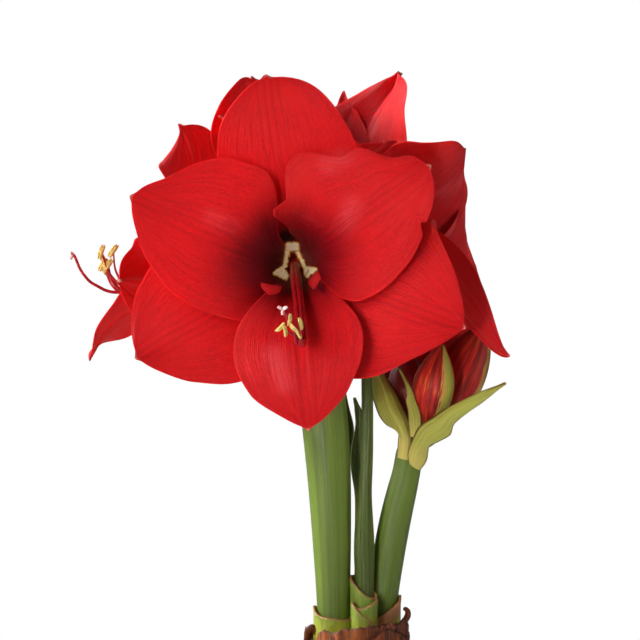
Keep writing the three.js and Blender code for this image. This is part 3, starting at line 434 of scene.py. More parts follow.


# Each flower: foot = bottom of its tube, faces = turn, lift and roll in degrees (turn 0 faces the viewer).
# Each tepal, its lists read from foot to tip: at = place round the axis, long = length, root = radius at the
# foot, flare = lean from the axis, wide = half widths of its two sides, cup = lift of its sides, twist and
# sway in degrees, tip = share of the length that is rounded, keel = depth of the fold along the middle,
# ruffle = wave of the margins, tabs = side, place along, length and width of a lobe of the margin,
# dents = place along and across, size along and across, height of single folds and bulges.
# Flaps are small turned lips, given by their two edges in the flower's right, up and out. A dark one is
# painted shade, coloured like the dark throat.
bloomFront = {
    "foot": (-37, -28, 409),
    "faces": (0, 1.5, 0),
    "flaps": [                # beside the tube
        {"edges": ([(-19.3, -9.8, 52), (-13.5, -11, 61), (-7.4, -12, 54)],
                   [(-18.8, -12.4, 55), (-14, -16.6, 65), (-8.5, -15, 58)]),
         "bulge": 1.0, "dark": 0},
        {"edges": ([(12.6, -3.2, 40), (9.1, -8, 38), (8, -10.3, 39), (10.6, -13.6, 46)],
                   [(13.8, -3.7, 41), (15.3, -7.2, 46), (14.2, -10.3, 47), (12, -14, 48)]),
         "bulge": 1.5, "dark": 0},
        # painted shade: a lip in shadow beside the tube, coloured like the dark throat
        {"edges": ([(14.4, -8.5, 46), (13.4, -11, 48), (12.6, -13.5, 50)],
                   [(15.4, -9, 47), (16.6, -12, 51), (17.6, -15.4, 55)]),
         "bulge": 0.0, "dark": 1},
    ],
    "tepals": {
        "topSepal": {
            "at": 98.5, "long": 136.2, "root": 8, "flare": [10, 28, 58, 80, 96],
            "wide": ([9.1, 20.6, 31.8, 41.1, 46.2, 43.6, 36.9, 35.5],
                     [9.7, 17.9, 25.6, 31.7, 34.6, 33.7, 28.8, 21.1]),
            "tip": 0.2, "cup": ([0, 0, 0, 10, 25], [0, 0, 0, 10, 25]),
        },
        "lowerLeftSepal": {
            "at": 210.3, "long": 129.9, "root": 8, "flare": [10, 28, 58, 82, 92],
            "wide": ([8.8, 19.5, 29.9, 38.6, 43.6, 42.9, 32.9, 22.5],
                     [10, 20.8, 31.1, 39.4, 43.2, 39.6, 27.5, 15.1]),
        },
        "lowerRightSepal": {
            "at": 339.8, "long": 128.3, "root": 8, "flare": [10, 28, 58, 82, 92],
            "wide": ([10.7, 23.7, 36.2, 46.2, 50.2, 43.5, 25.1, 12.5],
                     [8.7, 21.9, 34.7, 45.6, 51.7, 49.5, 32.3, 19.6]),
        },
        "upperRightPetal": {
            "at": 36.2, "long": 134.9, "root": 6.6, "flare": [6, 18, 46, 76, 84],
            "wide": ([4, 7.8, 12, 17.2, 24.7, 39.7, 41, 38.8, 35.5, 29, 20.2, 15.3],
                     [4, 6, 8, 11, 23, 34, 49, 46, 34.1, 31.4, 15.7, 16.4]),
            "tip": 0.1, "tabs": [(1, 0.432, 0.022, 13), (0, 0.84, 0.015, -5)],
            "dents": [(0.43, 1, 0.06, 0.35, 6)],
        },
        "upperLeftPetal": {
            "at": 157, "long": 141.8, "root": 6.6, "flare": [6, 18, 46, 76, 84],
            "wide": ([5.1, 7, 8.5, 10, 15, 28, 42, 42.5, 40.5, 32, 19.5, 15.4],
                     [11.3, 22, 32.1, 39.9, 43.5, 40.6, 29.3, 16.5]),
            "dents": [(0.4, 1, 0.14, 0.5, -9), (0.42, -1, 0.1, 0.5, -4)],
        },
        "bottomPetal": {
            "at": 274.9, "long": 133.7, "root": 6.6, "flare": [6, 18, 44, 72, 84],
            "wide": ([3.9, 4.8, 9.6, 24.7, 36.3, 37.9, 29.8, 14.7],
                     [3.9, 6.6, 11.7, 23.4, 34.6, 33.7, 24.7, 15.2]),
            "dents": [(0.42, -1, 0.12, 0.5, 7)],
        },
    },
}
bloomLeft = {
    "foot": (-60, 22, 386),
    "faces": (-80, 0, 0),
    "tepals": {
        "upperSepal": {
            "at": 102.6, "long": 118.9, "root": 8, "flare": [19.2, 49.8, 81.3, 88.2, 61.2],
            "wide": ([9.7, 18.7, 27.2, 33.8, 36.6, 34.8, 19.6, 3.4],
                     [7.8, 15.4, 22.8, 28.9, 33.2, 35.3, 35.8, 35.8]),
            "cup": ([0, 5, 15, 25, 20], [0, 0, 10, 10, 10]), "twist": [-0.3, -1.1, -29.1, -56.6],
            "ruffle": 2.6,
        },
        "nearSepal": {
            "at": 9.7, "long": 130.7, "root": 8, "flare": [10.9, 26.4, 45.1, 61, 53.2],
            "wide": ([10.9, 17.5, 23.4, 27.3, 27.6, 23.8, 16.6, 9.7],
                     [10.2, 18.8, 26.8, 32.8, 34.8, 31.1, 20.9, 17.4]),
            "cup": ([-1, -0.6, 1.7, 9.2, 23.5], [-1.8, 2.1, 8.3, 16.6, 26]), "twist": [-1, 10.7, -3],
            "dents": [(0.86, 0.02, 0.14, 0.1, -5)],
        },
        "farSepal": {
            "at": 205, "long": 84, "root": 8, "flare": [10, 28, 54, 70, 76],
            "wide": plainWidths(0.75),
        },
        "nearPetal": {
            "at": 55, "long": 112, "root": 6.6, "flare": [8, 26, 58, 88, 100],
            "wide": plainWidths(0.8),
        },
        "farPetal": {
            "at": 155, "long": 104, "root": 6.6, "flare": [6, 18, 46, 76, 84],
            "wide": plainWidths(0.9),
        },
        "lowerPetal": {
            "at": 294.7, "long": 120, "root": 6.6, "flare": [-10.1, -8.5, 10, 35.9, 69.4],
            "wide": ([5.9, 12.2, 18.4, 23.7, 27.5, 29.8, 28.1, 27],
                     [5.3, 12.3, 19.1, 25.2, 29.9, 32.6, 33.4, 32]),
            "cup": ([-0.7, 2.2, 5.8, 4.3, 5.1], [-1.2, 2.8, 8.1, 12.8, 4.2]), "twist": [-1.3, 5.7, -0.3],
            "ruffle": 3.2,
        },
    },
}
bloomRight = {
    "foot": (0, 26, 390),
    "faces": (75, 8, 0),
    "flaps": [                # petal end behind the buds, painted dark as shade
        {"edges": ([(3, -2, 3), (9, -17, 5), (12, -35, 6), (13, -51, 6), (16, -64, 20)],
                   [(4, -5, 9), (12, -14, 29), (20, -30, 39), (21, -49, 36), (17, -65, 21)]),
         "bulge": 1.0, "dark": 1},
    ],
    "tepals": {
        "upperSepal": {
            "at": 73.7, "long": 106.9, "root": 8, "flare": [20.9, 42.4, 48.7, 35.7, 81.6],
            "wide": ([8.7, 16.6, 24.2, 30.5, 33, 33, 31, 30],
                     [5.4, 16.9, 28.5, 39.5, 48.7, 54.7, 54.2, 56.8]),
            "cup": ([1.5, 2.9, 2.5, -4.7, -27.7], [0.8, -5.9, -13.6, -16.2, -10.7]),
            "twist": [3.5, -31.4, 11],
        },
        "nearSepal": {
            "at": 207.9, "long": 120.2, "root": 8, "flare": [6.5, 23.2, 41.6, 44.9, 33.6],
            "wide": ([12.9, 27.2, 39.9, 47.3, 46.3, 37.7, 26.1, 4],
                     [9.5, 17.1, 20, 16, 11, 8, 6, 5]),
            "tip": 0.1, "cup": ([0, 0, 0, 10, 15], [0, -20, -50, -50, -10]),
            "twist": [-1.8, 8.3, -2.8, -18.8], "sway": [-7.6, -18.8, -11.9, -9, 13.1],
        },
        "farSepal": {
            "at": 3.5, "long": 118.3, "root": 8, "flare": [9.8, 33.7, 61.3, 83.4, 93.2],
            "wide": ([8.8, 16.8, 24.4, 30.6, 34.4, 35.4, 34.2, 32],
                     [5.9, 15.9, 25.9, 35.3, 43.3, 49.2, 51.6, 50.3]),
            "cup": ([-0.8, 0, 1.6, 5, 9.2], [-0.2, 4.6, 9.7, 9.3, -5.7]), "twist": [-1.1, 13.2, -8.3],
        },
        "farPetal": {
            "at": 38, "long": 106, "root": 6.6, "flare": [10, 30, 62, 88, 100],
            "wide": plainWidths(0.8),
        },
        "nearPetal": {
            "at": 140, "long": 110, "root": 6.6, "flare": [10, 32, 66, 94, 110],
            "wide": plainWidths(0.8),
        },
        "lowerPetal": {
            "at": 318, "long": 80, "root": 6.6, "flare": [8, 20, 36, 50, 60],
            "wide": ([6, 14, 30, 44, 50, 48, 40, 26], [5, 10, 18, 26, 30, 29, 24, 16]),
        },
    },
}
bloomBack = {
    "foot": (-20, 46, 424),
    "faces": (0, 80, 0),
    "tepals": {
        "rightSepal": {
            "at": 27.4, "long": 108.3, "root": 8, "flare": [7.2, 19.7, 27.4, 27.3, 23.6],
            "wide": ([8.3, 17.6, 26.7, 34.3, 38.8, 38.4, 36.7, 37.9],
                     [10.4, 19, 27.1, 33, 34.8, 30.7, 19.5, 6.7]),
            "cup": ([-0.3, 5.2, 11.1, 28.6, 17.3], [0.9, 12.7, 23.4, 28.6, 23.6]),
            "twist": [-0.7, 21.3, -1.2], "keel": 2, "dents": [(0.75, 0.35, 0.3, 0.25, -7)],
        },
        "leftSepal": {
            "at": 138.4, "long": 107.5, "root": 8, "flare": [13.2, 30, 37.2, 24.1, 34.4],
            "wide": ([8.3, 15.9, 23.1, 29, 32.6, 33.6, 32.5, 30.3],
                     [5.7, 16, 26.2, 35.7, 43.5, 48.4, 47.5, 45.2]),
            "cup": ([-1, 0.4, 2.8, 7.1, 10.7], [-1.3, -5, -7.2, -0.7, 32.9]),
            "twist": [2.2, -16.8, 13.2],
        },
        "nearSepal": {
            "at": 262, "long": 108, "root": 8, "flare": [16, 34, 48, 56, 60],
            "wide": plainWidths(0.8),
            "cup": ([0, 10, 20, 20, 20], [0, 10, 20, 20, 20]),
        },
        "farPetal": {
            "at": 72.8, "long": 92.1, "root": 6.6, "flare": [6, 16, 26, 30, 30],
            "wide": ([9.4, 15.1, 20.3, 23.7, 23.8, 20.1, 12.8, 3.9],
                     [10.8, 14.3, 17.1, 17.8, 15.4, 10, 4, 3.6]),
            "cup": ([0, 0, 10, 20, 20], [0, 0, 10, 20, 20]),
        },
        "leftPetal": {
            "at": 205, "long": 104, "root": 6.6, "flare": [10, 24, 42, 50, 60],
            "wide": plainWidths(0.8),
            "cup": ([0, 0, 10, 20, 20], [0, 0, 10, 20, 20]),
        },
        "rightPetal": {
            "at": 310, "long": 84, "root": 6.6, "flare": [10, 24, 34, 50, 60],
            "wide": plainWidths(0.7),
            "cup": ([0, 10, 20, 20, 20], [0, 10, 20, 20, 20]),
        },
    },
}

petalFinish = {
    "thick": 0.9, "rimThick": 0.45, "rows": 80, "cols": 40,
    "groove": 1.1,            # depth of the midrib's groove on the face
    "pleat": 0.22,            # height of the soft pleats that run with the veins
    "ruffle": 0.9,            # wave of the margins
    "swell": 1.2,             # slow bulges of the blade
    "nub": 2.2,               # small point at the tip
    "tip": 0.16,              # share of the length that is rounded
    "slim": 0.7,              # least half width
    "spread": 0.8,            # how much closer the points stand near the margins
    "close": (0.55, 0.25, 0.08),      # extra rows before the tip, as shares of the last row's gap
}


def flowerAxes(flower):
    turn, lift, roll = (math.radians(a) for a in flower["faces"])
    out = np.array([math.sin(turn) * math.cos(lift), -math.cos(turn) * math.cos(lift), math.sin(lift)])
    right = np.cross(-out, (0, 0, 1))
    right /= np.linalg.norm(right)
    up = np.cross(right, -out)
    return (np.array(flower["foot"], float), right * math.cos(roll) + up * math.sin(roll),
            up * math.cos(roll) - right * math.sin(roll), out)


def inFlower(made, flower):           # stores each point's place in the flower: right, up and out
    foot, xAxis, yAxis, out = flowerAxes(flower)
    for key, axis in (("fx", xAxis), ("fy", yAxis), ("fz", out)):
        made["values"][key] = (made["points"] - foot) @ axis
    return made


def tepalSheet(flower, tepal, order):
    foot, xAxis, yAxis, out = flowerAxes(flower)
    look = petalFinish
    seed = 3.7 * order + 1.3 * len(tepal["wide"][0]) + 0.01 * tepal["long"]
    steps, r, a = 90, [tepal["root"]], [0.0]      # the midrib: distance from the axis and along it
    for k in range(steps):
        lean = math.radians(along(tepal["flare"], (k + 0.5) / steps))
        r.append(r[-1] + tepal["long"] / steps * math.sin(lean))
        a.append(a[-1] + tepal["long"] / steps * math.cos(lean))
    marks = np.linspace(0, 1, steps + 1)
    q = np.linspace(0, 1, look["rows"] + 1)
    places = 0.72 * q + 0.28 * np.sin(math.pi / 2 * q)
    places = np.concatenate([places[:-1], [1 - (1 - places[-2]) * f for f in look["close"]], [1.0]])
    turn = math.pi / 2 * look["spread"]
    t = np.sin(np.linspace(-1, 1, look["cols"] + 1) * turn) / math.sin(turn)
    none = [0, 0]
    tipPart = tepal.get("tip", look["tip"])
    grid, halves = [], []
    for s in places:
        rr, aa = np.interp(s, marks, r), np.interp(s, marks, a)
        lean = math.radians(along(tepal["flare"], s))
        angle = math.radians(tepal["at"] + along(tepal.get("sway", none), s))
        spoke = xAxis * math.cos(angle) + yAxis * math.sin(angle)
        sideways = yAxis * math.cos(angle) - xAxis * math.sin(angle)
        inward = out * math.sin(lean) - spoke * math.cos(lean)
        twist = math.radians(along(tepal.get("twist", none), s))
        over = sideways * math.cos(twist) + inward * math.sin(twist)
        face = inward * math.cos(twist) - sideways * math.sin(twist)
        funnel = max(0.0, math.cos(lean)) / max(rr, 1.0) * (1 - smooth((s - 0.35) / 0.3))
        rounding = math.sqrt(max(0.0, 1 - ((s - 1 + tipPart) / tipPart) ** 2)) if s > 1 - tipPart else 1.0
        row, halfRow = [], []
        for ti in t:
            side = 0 if ti < 0 else 1
            half = max(float(along(tepal["wide"][side], s)) * rounding, look["slim"])
            half += sum(w * math.exp(-((s - sAt) / long) ** 2) for tab, sAt, long, w in tepal.get("tabs", ())
                        if tab == side)
            half = min(half, 2.1 / max(funnel, 1e-6))     # at most 2.1 radians round the tube
            x = abs(ti) * half
            lift = math.radians(along(tepal.get("cup", (none, none))[side], s))
            bend = funnel + lift / max(half, 6)
            flat = abs(bend * x) < 1e-4
            away = x if flat else math.sin(bend * x) / bend
            rise = 0.0 if flat else (1 - math.cos(bend * x)) / bend
            rise -= tepal.get("keel", 0) * math.exp(-(x / 5) ** 2) * smooth((s - 0.3) / 0.2)
            nub = look["nub"] * math.exp(-(x / 2.2) ** 2) * smooth((s - 0.94) / 0.06)
            row.append(foot + spoke * (rr + nub * math.sin(lean)) + out * (aa + nub * math.cos(lean))
                       + over * (away if side else -away) + face * rise)
            halfRow.append(half)
        grid.append(row)
        halves.append(halfRow)
    grid, halves = np.array(grid), np.array(halves)
    sAll, tAll = np.meshgrid(places, t, indexing="ij")
    body = smooth((sAll - 0.16) / 0.2) * smooth((1.0 - sAll) / 0.06)
    groove = -look["groove"] * np.exp(-((tAll * halves) / 2.6) ** 2) * body
    folds = np.sin(tAll * 17 + 1.4 * np.sin(sAll * 3 + seed) + seed)
    folds = folds + 0.6 * np.sin(tAll * 29 + seed * 2 + sAll * 2)
    folds *= look["pleat"] * body * (0.4 + 0.6 * smooth(1 - np.abs(tAll)))
    beat = sAll * (17 + 2 * math.sin(seed)) + seed + (tAll < 0) * 2.1
    wave = tepal.get("ruffle", look["ruffle"]) * np.abs(tAll) ** 4 * np.sin(beat)
    wave *= smooth((sAll - 0.3) / 0.3) * smooth((1.0 - sAll) / 0.1)
    swell = np.array([[noise.noise(Vector((ti * 1.6 + seed, si * 3.2, seed))) for ti in t] for si in places])
    swell *= look["swell"] * body * (1 - 0.6 * np.abs(tAll) ** 2)
    for sAt, tAt, sWide, tWide, high in tepal.get("dents", ()):
        swell = swell + high * np.exp(-((sAll - sAt) / sWide) ** 2 - ((tAll - tAt) / tWide) ** 2)
    face = gridNormals(grid)
    low = grid[6, 20]                 # a point of the midrib in the tube, whose face looks at the axis
    sign = 1.0 if np.sum(face[6, 20] * -(low - foot - out * np.dot(low - foot, out))) > 0 else -1.0
    grid = grid + face * sign * (groove + folds + wave + swell)[..., None]
    thick = look["rimThick"] + (look["thick"] - look["rimThick"]) * smooth((1 - np.abs(tAll)) / 0.25)
    made = sheetPart(grid, thick, sign, sAll, tAll, halfWide=halves, tone=np.full(sAll.shape, seed))
    return inFlower(made, flower)


def flapPart(flower, flap, seed, rows=30, cols=10):
    foot, xAxis, yAxis, out = flowerAxes(flower)
    share = np.linspace(0, 1, cols + 1)[:, None]
    grid = []
    for s in np.linspace(0, 1, rows + 1):
        a, b = along(flap["edges"][0], s), along(flap["edges"][1], s)
        grid.append(a + (b - a) * share + np.sin(math.pi * share) * (0, 0, flap["bulge"]))
    grid = foot + np.array(grid) @ np.array([xAxis, yAxis, out])
    sAll, tAll = np.meshgrid(np.linspace(0.3, 0.9, rows + 1), np.linspace(-0.9, 0.9, cols + 1), indexing="ij")
    same = np.ones(sAll.shape)
    made = inFlower(sheetPart(grid, 0.7, 1, sAll, tAll, halfWide=same * 6, tone=same * seed), flower)
    same = np.ones(len(made["points"]))
    made["values"]["inner"] = same * flap["dark"]
    if flap["dark"]:                  # painted shade, coloured like the dark throat
        made["values"].update(fx=same * -5, fy=same * 3, fz=same * 60)
    return made


def tubeOf(flower):                   # the short tube that the six tepals grow from
    foot, _, _, out = flowerAxes(flower)
    outer = [(-8, 4.6), (-7.6, 6.0), (-4, 8.2), (0, 8.9), (4, 9.1), (6, 8.9)]
    inner = [(6, 7.6), (4.4, 6.6), (3.2, 5.4), (2.6, 4.0)]
    sides = 40
    made = turnedPart(outer + inner, sides, foot, out, halfWide=5.0, tone=4.0)
    made["values"]["alongIt"] = np.full(len(made["points"]), 0.02)
    made["values"]["inner"] = np.repeat([0.0] * len(outer) + [1.0] * len(inner), sides)
    return inFlower(made, flower)


petalRed = petalMaterial()
blooms = {"front": bloomFront, "left": bloomLeft, "right": bloomRight, "back": bloomBack}
for name, flower in blooms.items():
    parts = [(tepalSheet(flower, tepal, k), 0) for k, tepal in enumerate(flower["tepals"].values())]
    parts.append((tubeOf(flower), 0))
    parts += [(flapPart(flower, flap, 20.0 + k), 0) for k, flap in enumerate(flower.get("flaps", ()))]
    makePiece("petals_" + name, parts, [petalRed], ["flower_" + name])
print("petals made")


# Stamens, style and anthers
stamenLook = {
    "filament": paint(196, 20, 30), "filamentShade": paint(160, 14, 24), "anther": paint(240, 214, 130),
    "antherShade": paint(206, 170, 84), "stigma": paint(250, 236, 232), "stigmaPink": paint(236, 150, 146),
}


def plainPlantMaterial(name, light, dark, roughness, scale, bumpDistance=0.0002, **settings):
    material, tree, shader = newMaterial(name, roughness, **settings)
    spots = useGroup(tree, mottle, Scale=scale, Stretch=1.0)
    colour = blend(tree, stepUp(tree, spots["Patches"], 0.35, 0.65), dark, light)
    finishLook(tree, shader, colour, 0.5, bumpDistance, spots["Grain"])
    return material


look = stamenLook
filamentRed = plainPlantMaterial("filament red", look["filament"], look["filamentShade"], 0.38, 180.0)
antherYellow = plainPlantMaterial("anther pollen", look["anther"], look["antherShade"], 0.9, 700.0, 0.0005)
stigmaWhite = plainPlantMaterial("stigma white", look["stigma"], look["stigmaPink"], 0.5, 400.0)

# In each flower's own right, up and out: run = line of the bundle, ends = each anther's middle and its lean,
# style = the rest of the style's line to the stigma. stand = how far the threads spread, anther = half an
# anther's length.
bundles = {
    "front": {
        "run": [(0, 0, 1), (0, -3, 20), (1, -11, 44), (3, -27, 72), (4, -42, 88)],
        "ends": [((-7.5, -33.8, 101), (4, 4, 1)), ((-5, -36, 101), (-1, 5, 2)),
                 ((-2.5, -29.7, 102), (1, 6, 1)), ((0, -33.8, 102), (4, -4, 1)),
                 ((3.6, -32.1, 101), (-1.5, 6, 1)), ((2.5, -38, 98), (-3, 5, 3))],
        "style": [(0, -36, 96), (-3.5, -29, 102), (-6, -24, 106)],
        "stand": 2.6, "anther": 3.5,
    },
    "left": {
        "run": [(0, 0, 1), (0, 3.5, 16), (0, 8, 30), (0, 10.5, 46), (0, 9, 64), (0, 6, 80)],
        "ends": [((4, 30, 96.6), (0, 7.9, -2.7)), ((2, 30.5, 89.3), (0, 8.5, -6.1)),
                 ((-2, 22, 95), (0, 9, -6.7)), ((3, 22, 92.5), (1, 3, -2)), ((-4, 20, 94), (1, 6, 2)),
                 ((-1, 26, 95), (1, 5, 3))],
        "style": [(0, 5.4, 88), (0, 6.5, 93.6), (0, 9, 98.5), (0, 12.3, 103.8), (0, 19, 109),
                  (0, 26.3, 112.1), (0, 28.5, 113.4)],
        "stand": 3.4, "anther": 4.6,
    },
    "right": {
        "run": [(0, 0, 1), (0, -4, 16), (0, -8, 30), (0, -10, 44)],
        "ends": [((6, -2, 58), (0, 5, 1)), ((-6, -3, 58), (1, 5, 1)), ((3, 4, 62), (0, 5, -2)),
                 ((-3, 6, 57), (2, 4, 1)), ((6, -7, 56), (0, 5, 2)), ((-5, -8, 60), (0, 4, 3))],
        "style": [(0, -6, 56), (0, 2, 66), (0, 8, 70)],
        "stand": 2.2, "anther": 4.4,
    },
    "back": {
        "run": [(0, 0, 1), (0, 0, 16), (0, -1, 30), (0, -2, 42), (0, -3, 52)],
        "ends": [((6, 2, 64), (0, 4, 3)), ((-6, 1, 64), (0, 4, 3)), ((4, 6, 70), (3, 3, 3)),
                 ((-4, 7, 66), (-3, 3, 3)), ((5, -6, 66), (0, 4, 3)), ((-5, -6, 68), (3, 2, 3))],
        "style": [(0, -2, 62), (0, 2, 74), (0, 4, 80)],
        "stand": 2.6, "anther": 4.4,
    },
}


threads = {                   # radii from foot to tip
    "filament": [1.15, 1.1, 1.0, 0.85, 0.45], "style": [1.2, 1.1, 1.0, 0.9, 0.8],
    "lobe": [0.8, 0.95, 0.75],        # of the stigma
    "sac": (0.07, 0.21, 0.24, 0.21, 0.07),        # times half the anther's length
    "cone": [(-4.6, 3.0), (-4, 4.4), (0, 4.4), (3, 3.4), (5, 1.5)],     # where they join; height and radius
}


def stamenSet(name):
    foot, xAxis, yAxis, out = flowerAxes(blooms[name])
    data = bundles[name]
    run, size = data["run"], data["anther"]

    def turned(p):                    # from right, up and out
        return xAxis * p[0] + yAxis * p[1] + out * p[2]

    red, yellow, white = [turnedPart(threads["cone"], 18, foot, out)], [], []
    spread = [1.6 + (data["stand"] - 1.6) * f / (len(run) - 1) for f in range(len(run))]
    for k, (end, lean) in enumerate(data["ends"]):
        angle = 2 * math.pi * k / 6 + 0.3
        line = [(x + w * math.cos(angle), y + w * math.sin(angle), a) for (x, y, a), w in zip(run, spread)]
        bend = line[-1]
        line.append(((bend[0] + end[0]) / 2, bend[1] * 0.6 + end[1] * 0.4, (bend[2] + end[2]) / 2 + 3))
        line.append(end)
        red.append(tubePart([foot + turned(p) for p in line], threads["filament"], 10, 46))
        lie = turned(lean)
        lie /= np.linalg.norm(lie)
        bow = np.cross(lie, out) * 0.8 + out * 0.6
        middle = foot + turned(end)
        shape = [middle + (lie * d + bow * (1 - d * d) * 0.2) * size for d in (-1, -0.6, 0, 0.6, 1)]
        side = np.cross(lie, bow)
        side /= np.linalg.norm(side)
        sac = [size * w for w in threads["sac"]]
        for shift in (-0.15 * size, 0.15 * size):   # two pollen sacs side by side
            yellow.append(tubePart([p + side * shift for p in shape], sac, 12, 14))
    red.append(tubePart([foot + turned(p) for p in run + data["style"]], threads["style"], 10, 60))
    tip = foot + turned(data["style"][-1])
    for k in range(3):
        angle = 2 * math.pi * k / 3 + 0.5
        lean = xAxis * math.cos(angle) + yAxis * math.sin(angle)
        line = [tip, tip + out * 1.2 + lean * 1.4, tip + out * 1.6 + lean * 3.0]
        white.append(tubePart(line, threads["lobe"], 10, 8))
    makePiece("filaments_" + name, [(p, 0) for p in red], [filamentRed], ["stamens_" + name])
    heads = [(p, 0) for p in yellow] + [(p, 1) for p in white]
    makePiece("anthers_" + name, heads, [antherYellow, stigmaWhite])


for name in blooms:
    stamenSet(name)
print("stamens made")


# Stems
stemLook = {
    "light": paint(108, 130, 40), "mid": paint(90, 110, 34), "dark": paint(62, 80, 24),
    "fibre": paint(112, 132, 46), "head": paint(104, 104, 44),
}


def greenMaterial(name, look, roughness, count, spotScale, **settings):   # long fibres over soft patches
    material, tree, shader = newMaterial(name, roughness, **settings)
    lines = veinLines(tree, count, 1.4)
    spots = useGroup(tree, mottle, Scale=spotScale, Stretch=0.35)
    colour = blend(tree, lines["Streaks"], look["mid"], look["light"])
    colour = blend(tree, stepUp(tree, spots["Patches"], 0.5, 0.75, 0.0, 0.55), colour, look["dark"])
    colour = blend(tree, times(tree, lines["Fine"], 0.3), colour, look["fibre"])
    if "foot" in look:
        colour = blend(tree, stepUp(tree, reading(tree, "alongIt"), 0.3, 0.04), colour, look["foot"])
    colour = blend(tree, reading(tree, "fade"), colour, look["head"])
    height = sums(tree, "MULTIPLY_ADD", spots["Grain"], 0.4, lines["Fine"])
    finishLook(tree, shader, colour, 0.35, 0.0003, height)
    return material


stemGreen = greenMaterial("stem green", stemLook, 0.42, 60.0, 30.0, Specular_IOR_Level=0.4)

# x, y, z, half width, half depth of level rings
leftStem = [
    (-13.6, -2, 155, 10.2, 8.8), (-13.8, -2, 180, 10.3, 8.8), (-14.3, -2, 204.5, 10.2, 8.8),
    (-15.3, -2, 241.2, 11.7, 9.4), (-16.5, -2, 271.7, 12.9, 9.8), (-18, -2, 296.1, 13.8, 10),
    (-19.5, -2, 314.3, 14.1, 10), (-21.4, -2, 338.6, 13.5, 10), (-21.8, -1, 354, 12.2, 10),
    (-21.6, 0, 361, 10, 9), (-21.5, 1, 365, 6, 6),
]
rightStem = [
    (12.6, 8, 155, 9.6, 8.8), (13.1, 8, 178.2, 9.8, 8.8), (15.8, 9, 202.7, 9.4, 8.6),
    (19.1, 9, 227.4, 9.8, 8.4), (23.5, 8, 252.1, 9.8, 8.4), (27.6, 7, 270.6, 9.3, 8.2),
    (30.4, 6, 283, 8.6, 8), (32.5, 5, 295.4, 8.3, 8), (33, 5, 300, 6, 6),
]


def stemPart(stations, sides=56, rows=70):
    rings, fade = [], []
    for k in range(rows + 1):
        x, y, z, wide, deep = along(stations, k / rows)
        ring = []
        for i in range(sides):
            angle = 2 * math.pi * i / sides
            rib = 1 + 0.006 * math.sin(9 * angle + z * 0.01) + 0.004 * math.sin(23 * angle)
            ring.append((x + wide * rib * math.cos(angle), y + deep * rib * math.sin(angle), z))
        rings.append(ring)
        fade.append(0.5 * float(smooth((k / rows - 0.93) / 0.07)))
    return ringsPart(rings, fade=np.array(fade), tone=2.0)


stalkFeet = {"front": (-24, -5, 359), "left": (-27, 3, 358), "right": (-15, 5, 358), "back": (-20, 6, 360)}
ovaryTop = -8.3               # just under the tube, in the flower's out direction
ovaryOutline = [(0, 4.2), (-0.6, 5.6), (-2, 6.6), (-5, 7.1), (-8, 6.8), (-11, 5.2), (-14, 3.9)]


def lobed(r, h, angle, j):
    return r * (1 + 0.05 * math.cos(3 * angle)), h


def stalkParts(name):
    foot, _, _, out = flowerAxes(blooms[name])
    profile = [(ovaryTop + h, r) for h, r in ovaryOutline[::-1]]
    ovary = turnedPart(profile, 36, foot, out, lobed, rows=18, fade=0.3, tone=5.0)
    low = np.array(stalkFeet[name], float)
    top, bend = foot + out * (ovaryTop - 12), foot + out * (ovaryTop - 24)
    rise = (low + (top - low) * 0.35 + np.array((0, 0, 6))) * 0.6 + bend * 0.4
    near = bend * 0.45 + top * 0.55
    return [ovary, tubePart([low, rise, near, top], [4.6, 4.3, 4.1, 4.0], 20, 30, fade=0.25, tone=6.0)]


leftParts = [stemPart(leftStem)] + [p for name in stalkFeet for p in stalkParts(name)]
makePiece("flower_stem", [(p, 0) for p in leftParts], [stemGreen], ["stem_left"])

# base, tip, greatest radius, roll of the ribs. Paint: green = strength of the green bands, turn = where they
# stand, band = their half width in degrees, streak = least green, shade = painted shade over the whole bud
buds = {
    "front": {"base": (42.4, -3, 310.8), "tip": (50.9, -12, 360.5), "radius": 12.6, "roll": 20,
              "green": 0.95, "turn": 86, "band": 38, "streak": 0.22, "shade": 0},
    "right": {"base": (49, 14, 307.1), "tip": (80, 20, 373.4), "radius": 15.3, "roll": -10,
              "green": 0.7, "turn": 90, "band": 15, "streak": 0.14, "shade": 0.3},
    "left": {"base": (32, 18, 308), "tip": (30.5, 20, 358), "radius": 11.5, "roll": 0,
             "green": 0.3, "turn": 0, "band": 16, "streak": 0, "shade": 0.85},
}


def budStalk(data):
    base, tip = np.array(data["base"], float), np.array(data["tip"], float)
    axis = (tip - base) / np.linalg.norm(tip - base)
    fork, before = np.array((33.0, 5, 293)), base - axis * 6
    line = [fork, before * 0.6 + fork * 0.4, before, base - axis * 0.2]
    return tubePart(line, [3.4] * 4, 16, 20, fade=0.6, tone=7.0)


rightParts = [stemPart(rightStem)] + [budStalk(bud) for bud in buds.values()]
makePiece("bud_stem", [(p, 0) for p in rightParts], [stemGreen], ["stem_right"])
print("stems made")


# Leaves and bracts
leafLook = {
    "light": paint(88, 104, 36), "mid": paint(78, 94, 32), "dark": paint(52, 68, 24),
    "fibre": paint(98, 112, 48), "head": paint(140, 138, 60),
}
leafGreen = greenMaterial("leaf green", leafLook, 0.4, 26.0, 30.0, Specular_IOR_Level=0.42)
bractLook = {
    "light": paint(186, 190, 78), "mid": paint(170, 164, 64), "dark": paint(146, 122, 52),
    "fibre": paint(212, 206, 116), "head": paint(96, 56, 24), "foot": paint(216, 200, 104),
}
bractOlive = greenMaterial("bract olive", bractLook, 0.55, 18.0, 60.0, Specular_IOR_Level=0.3)

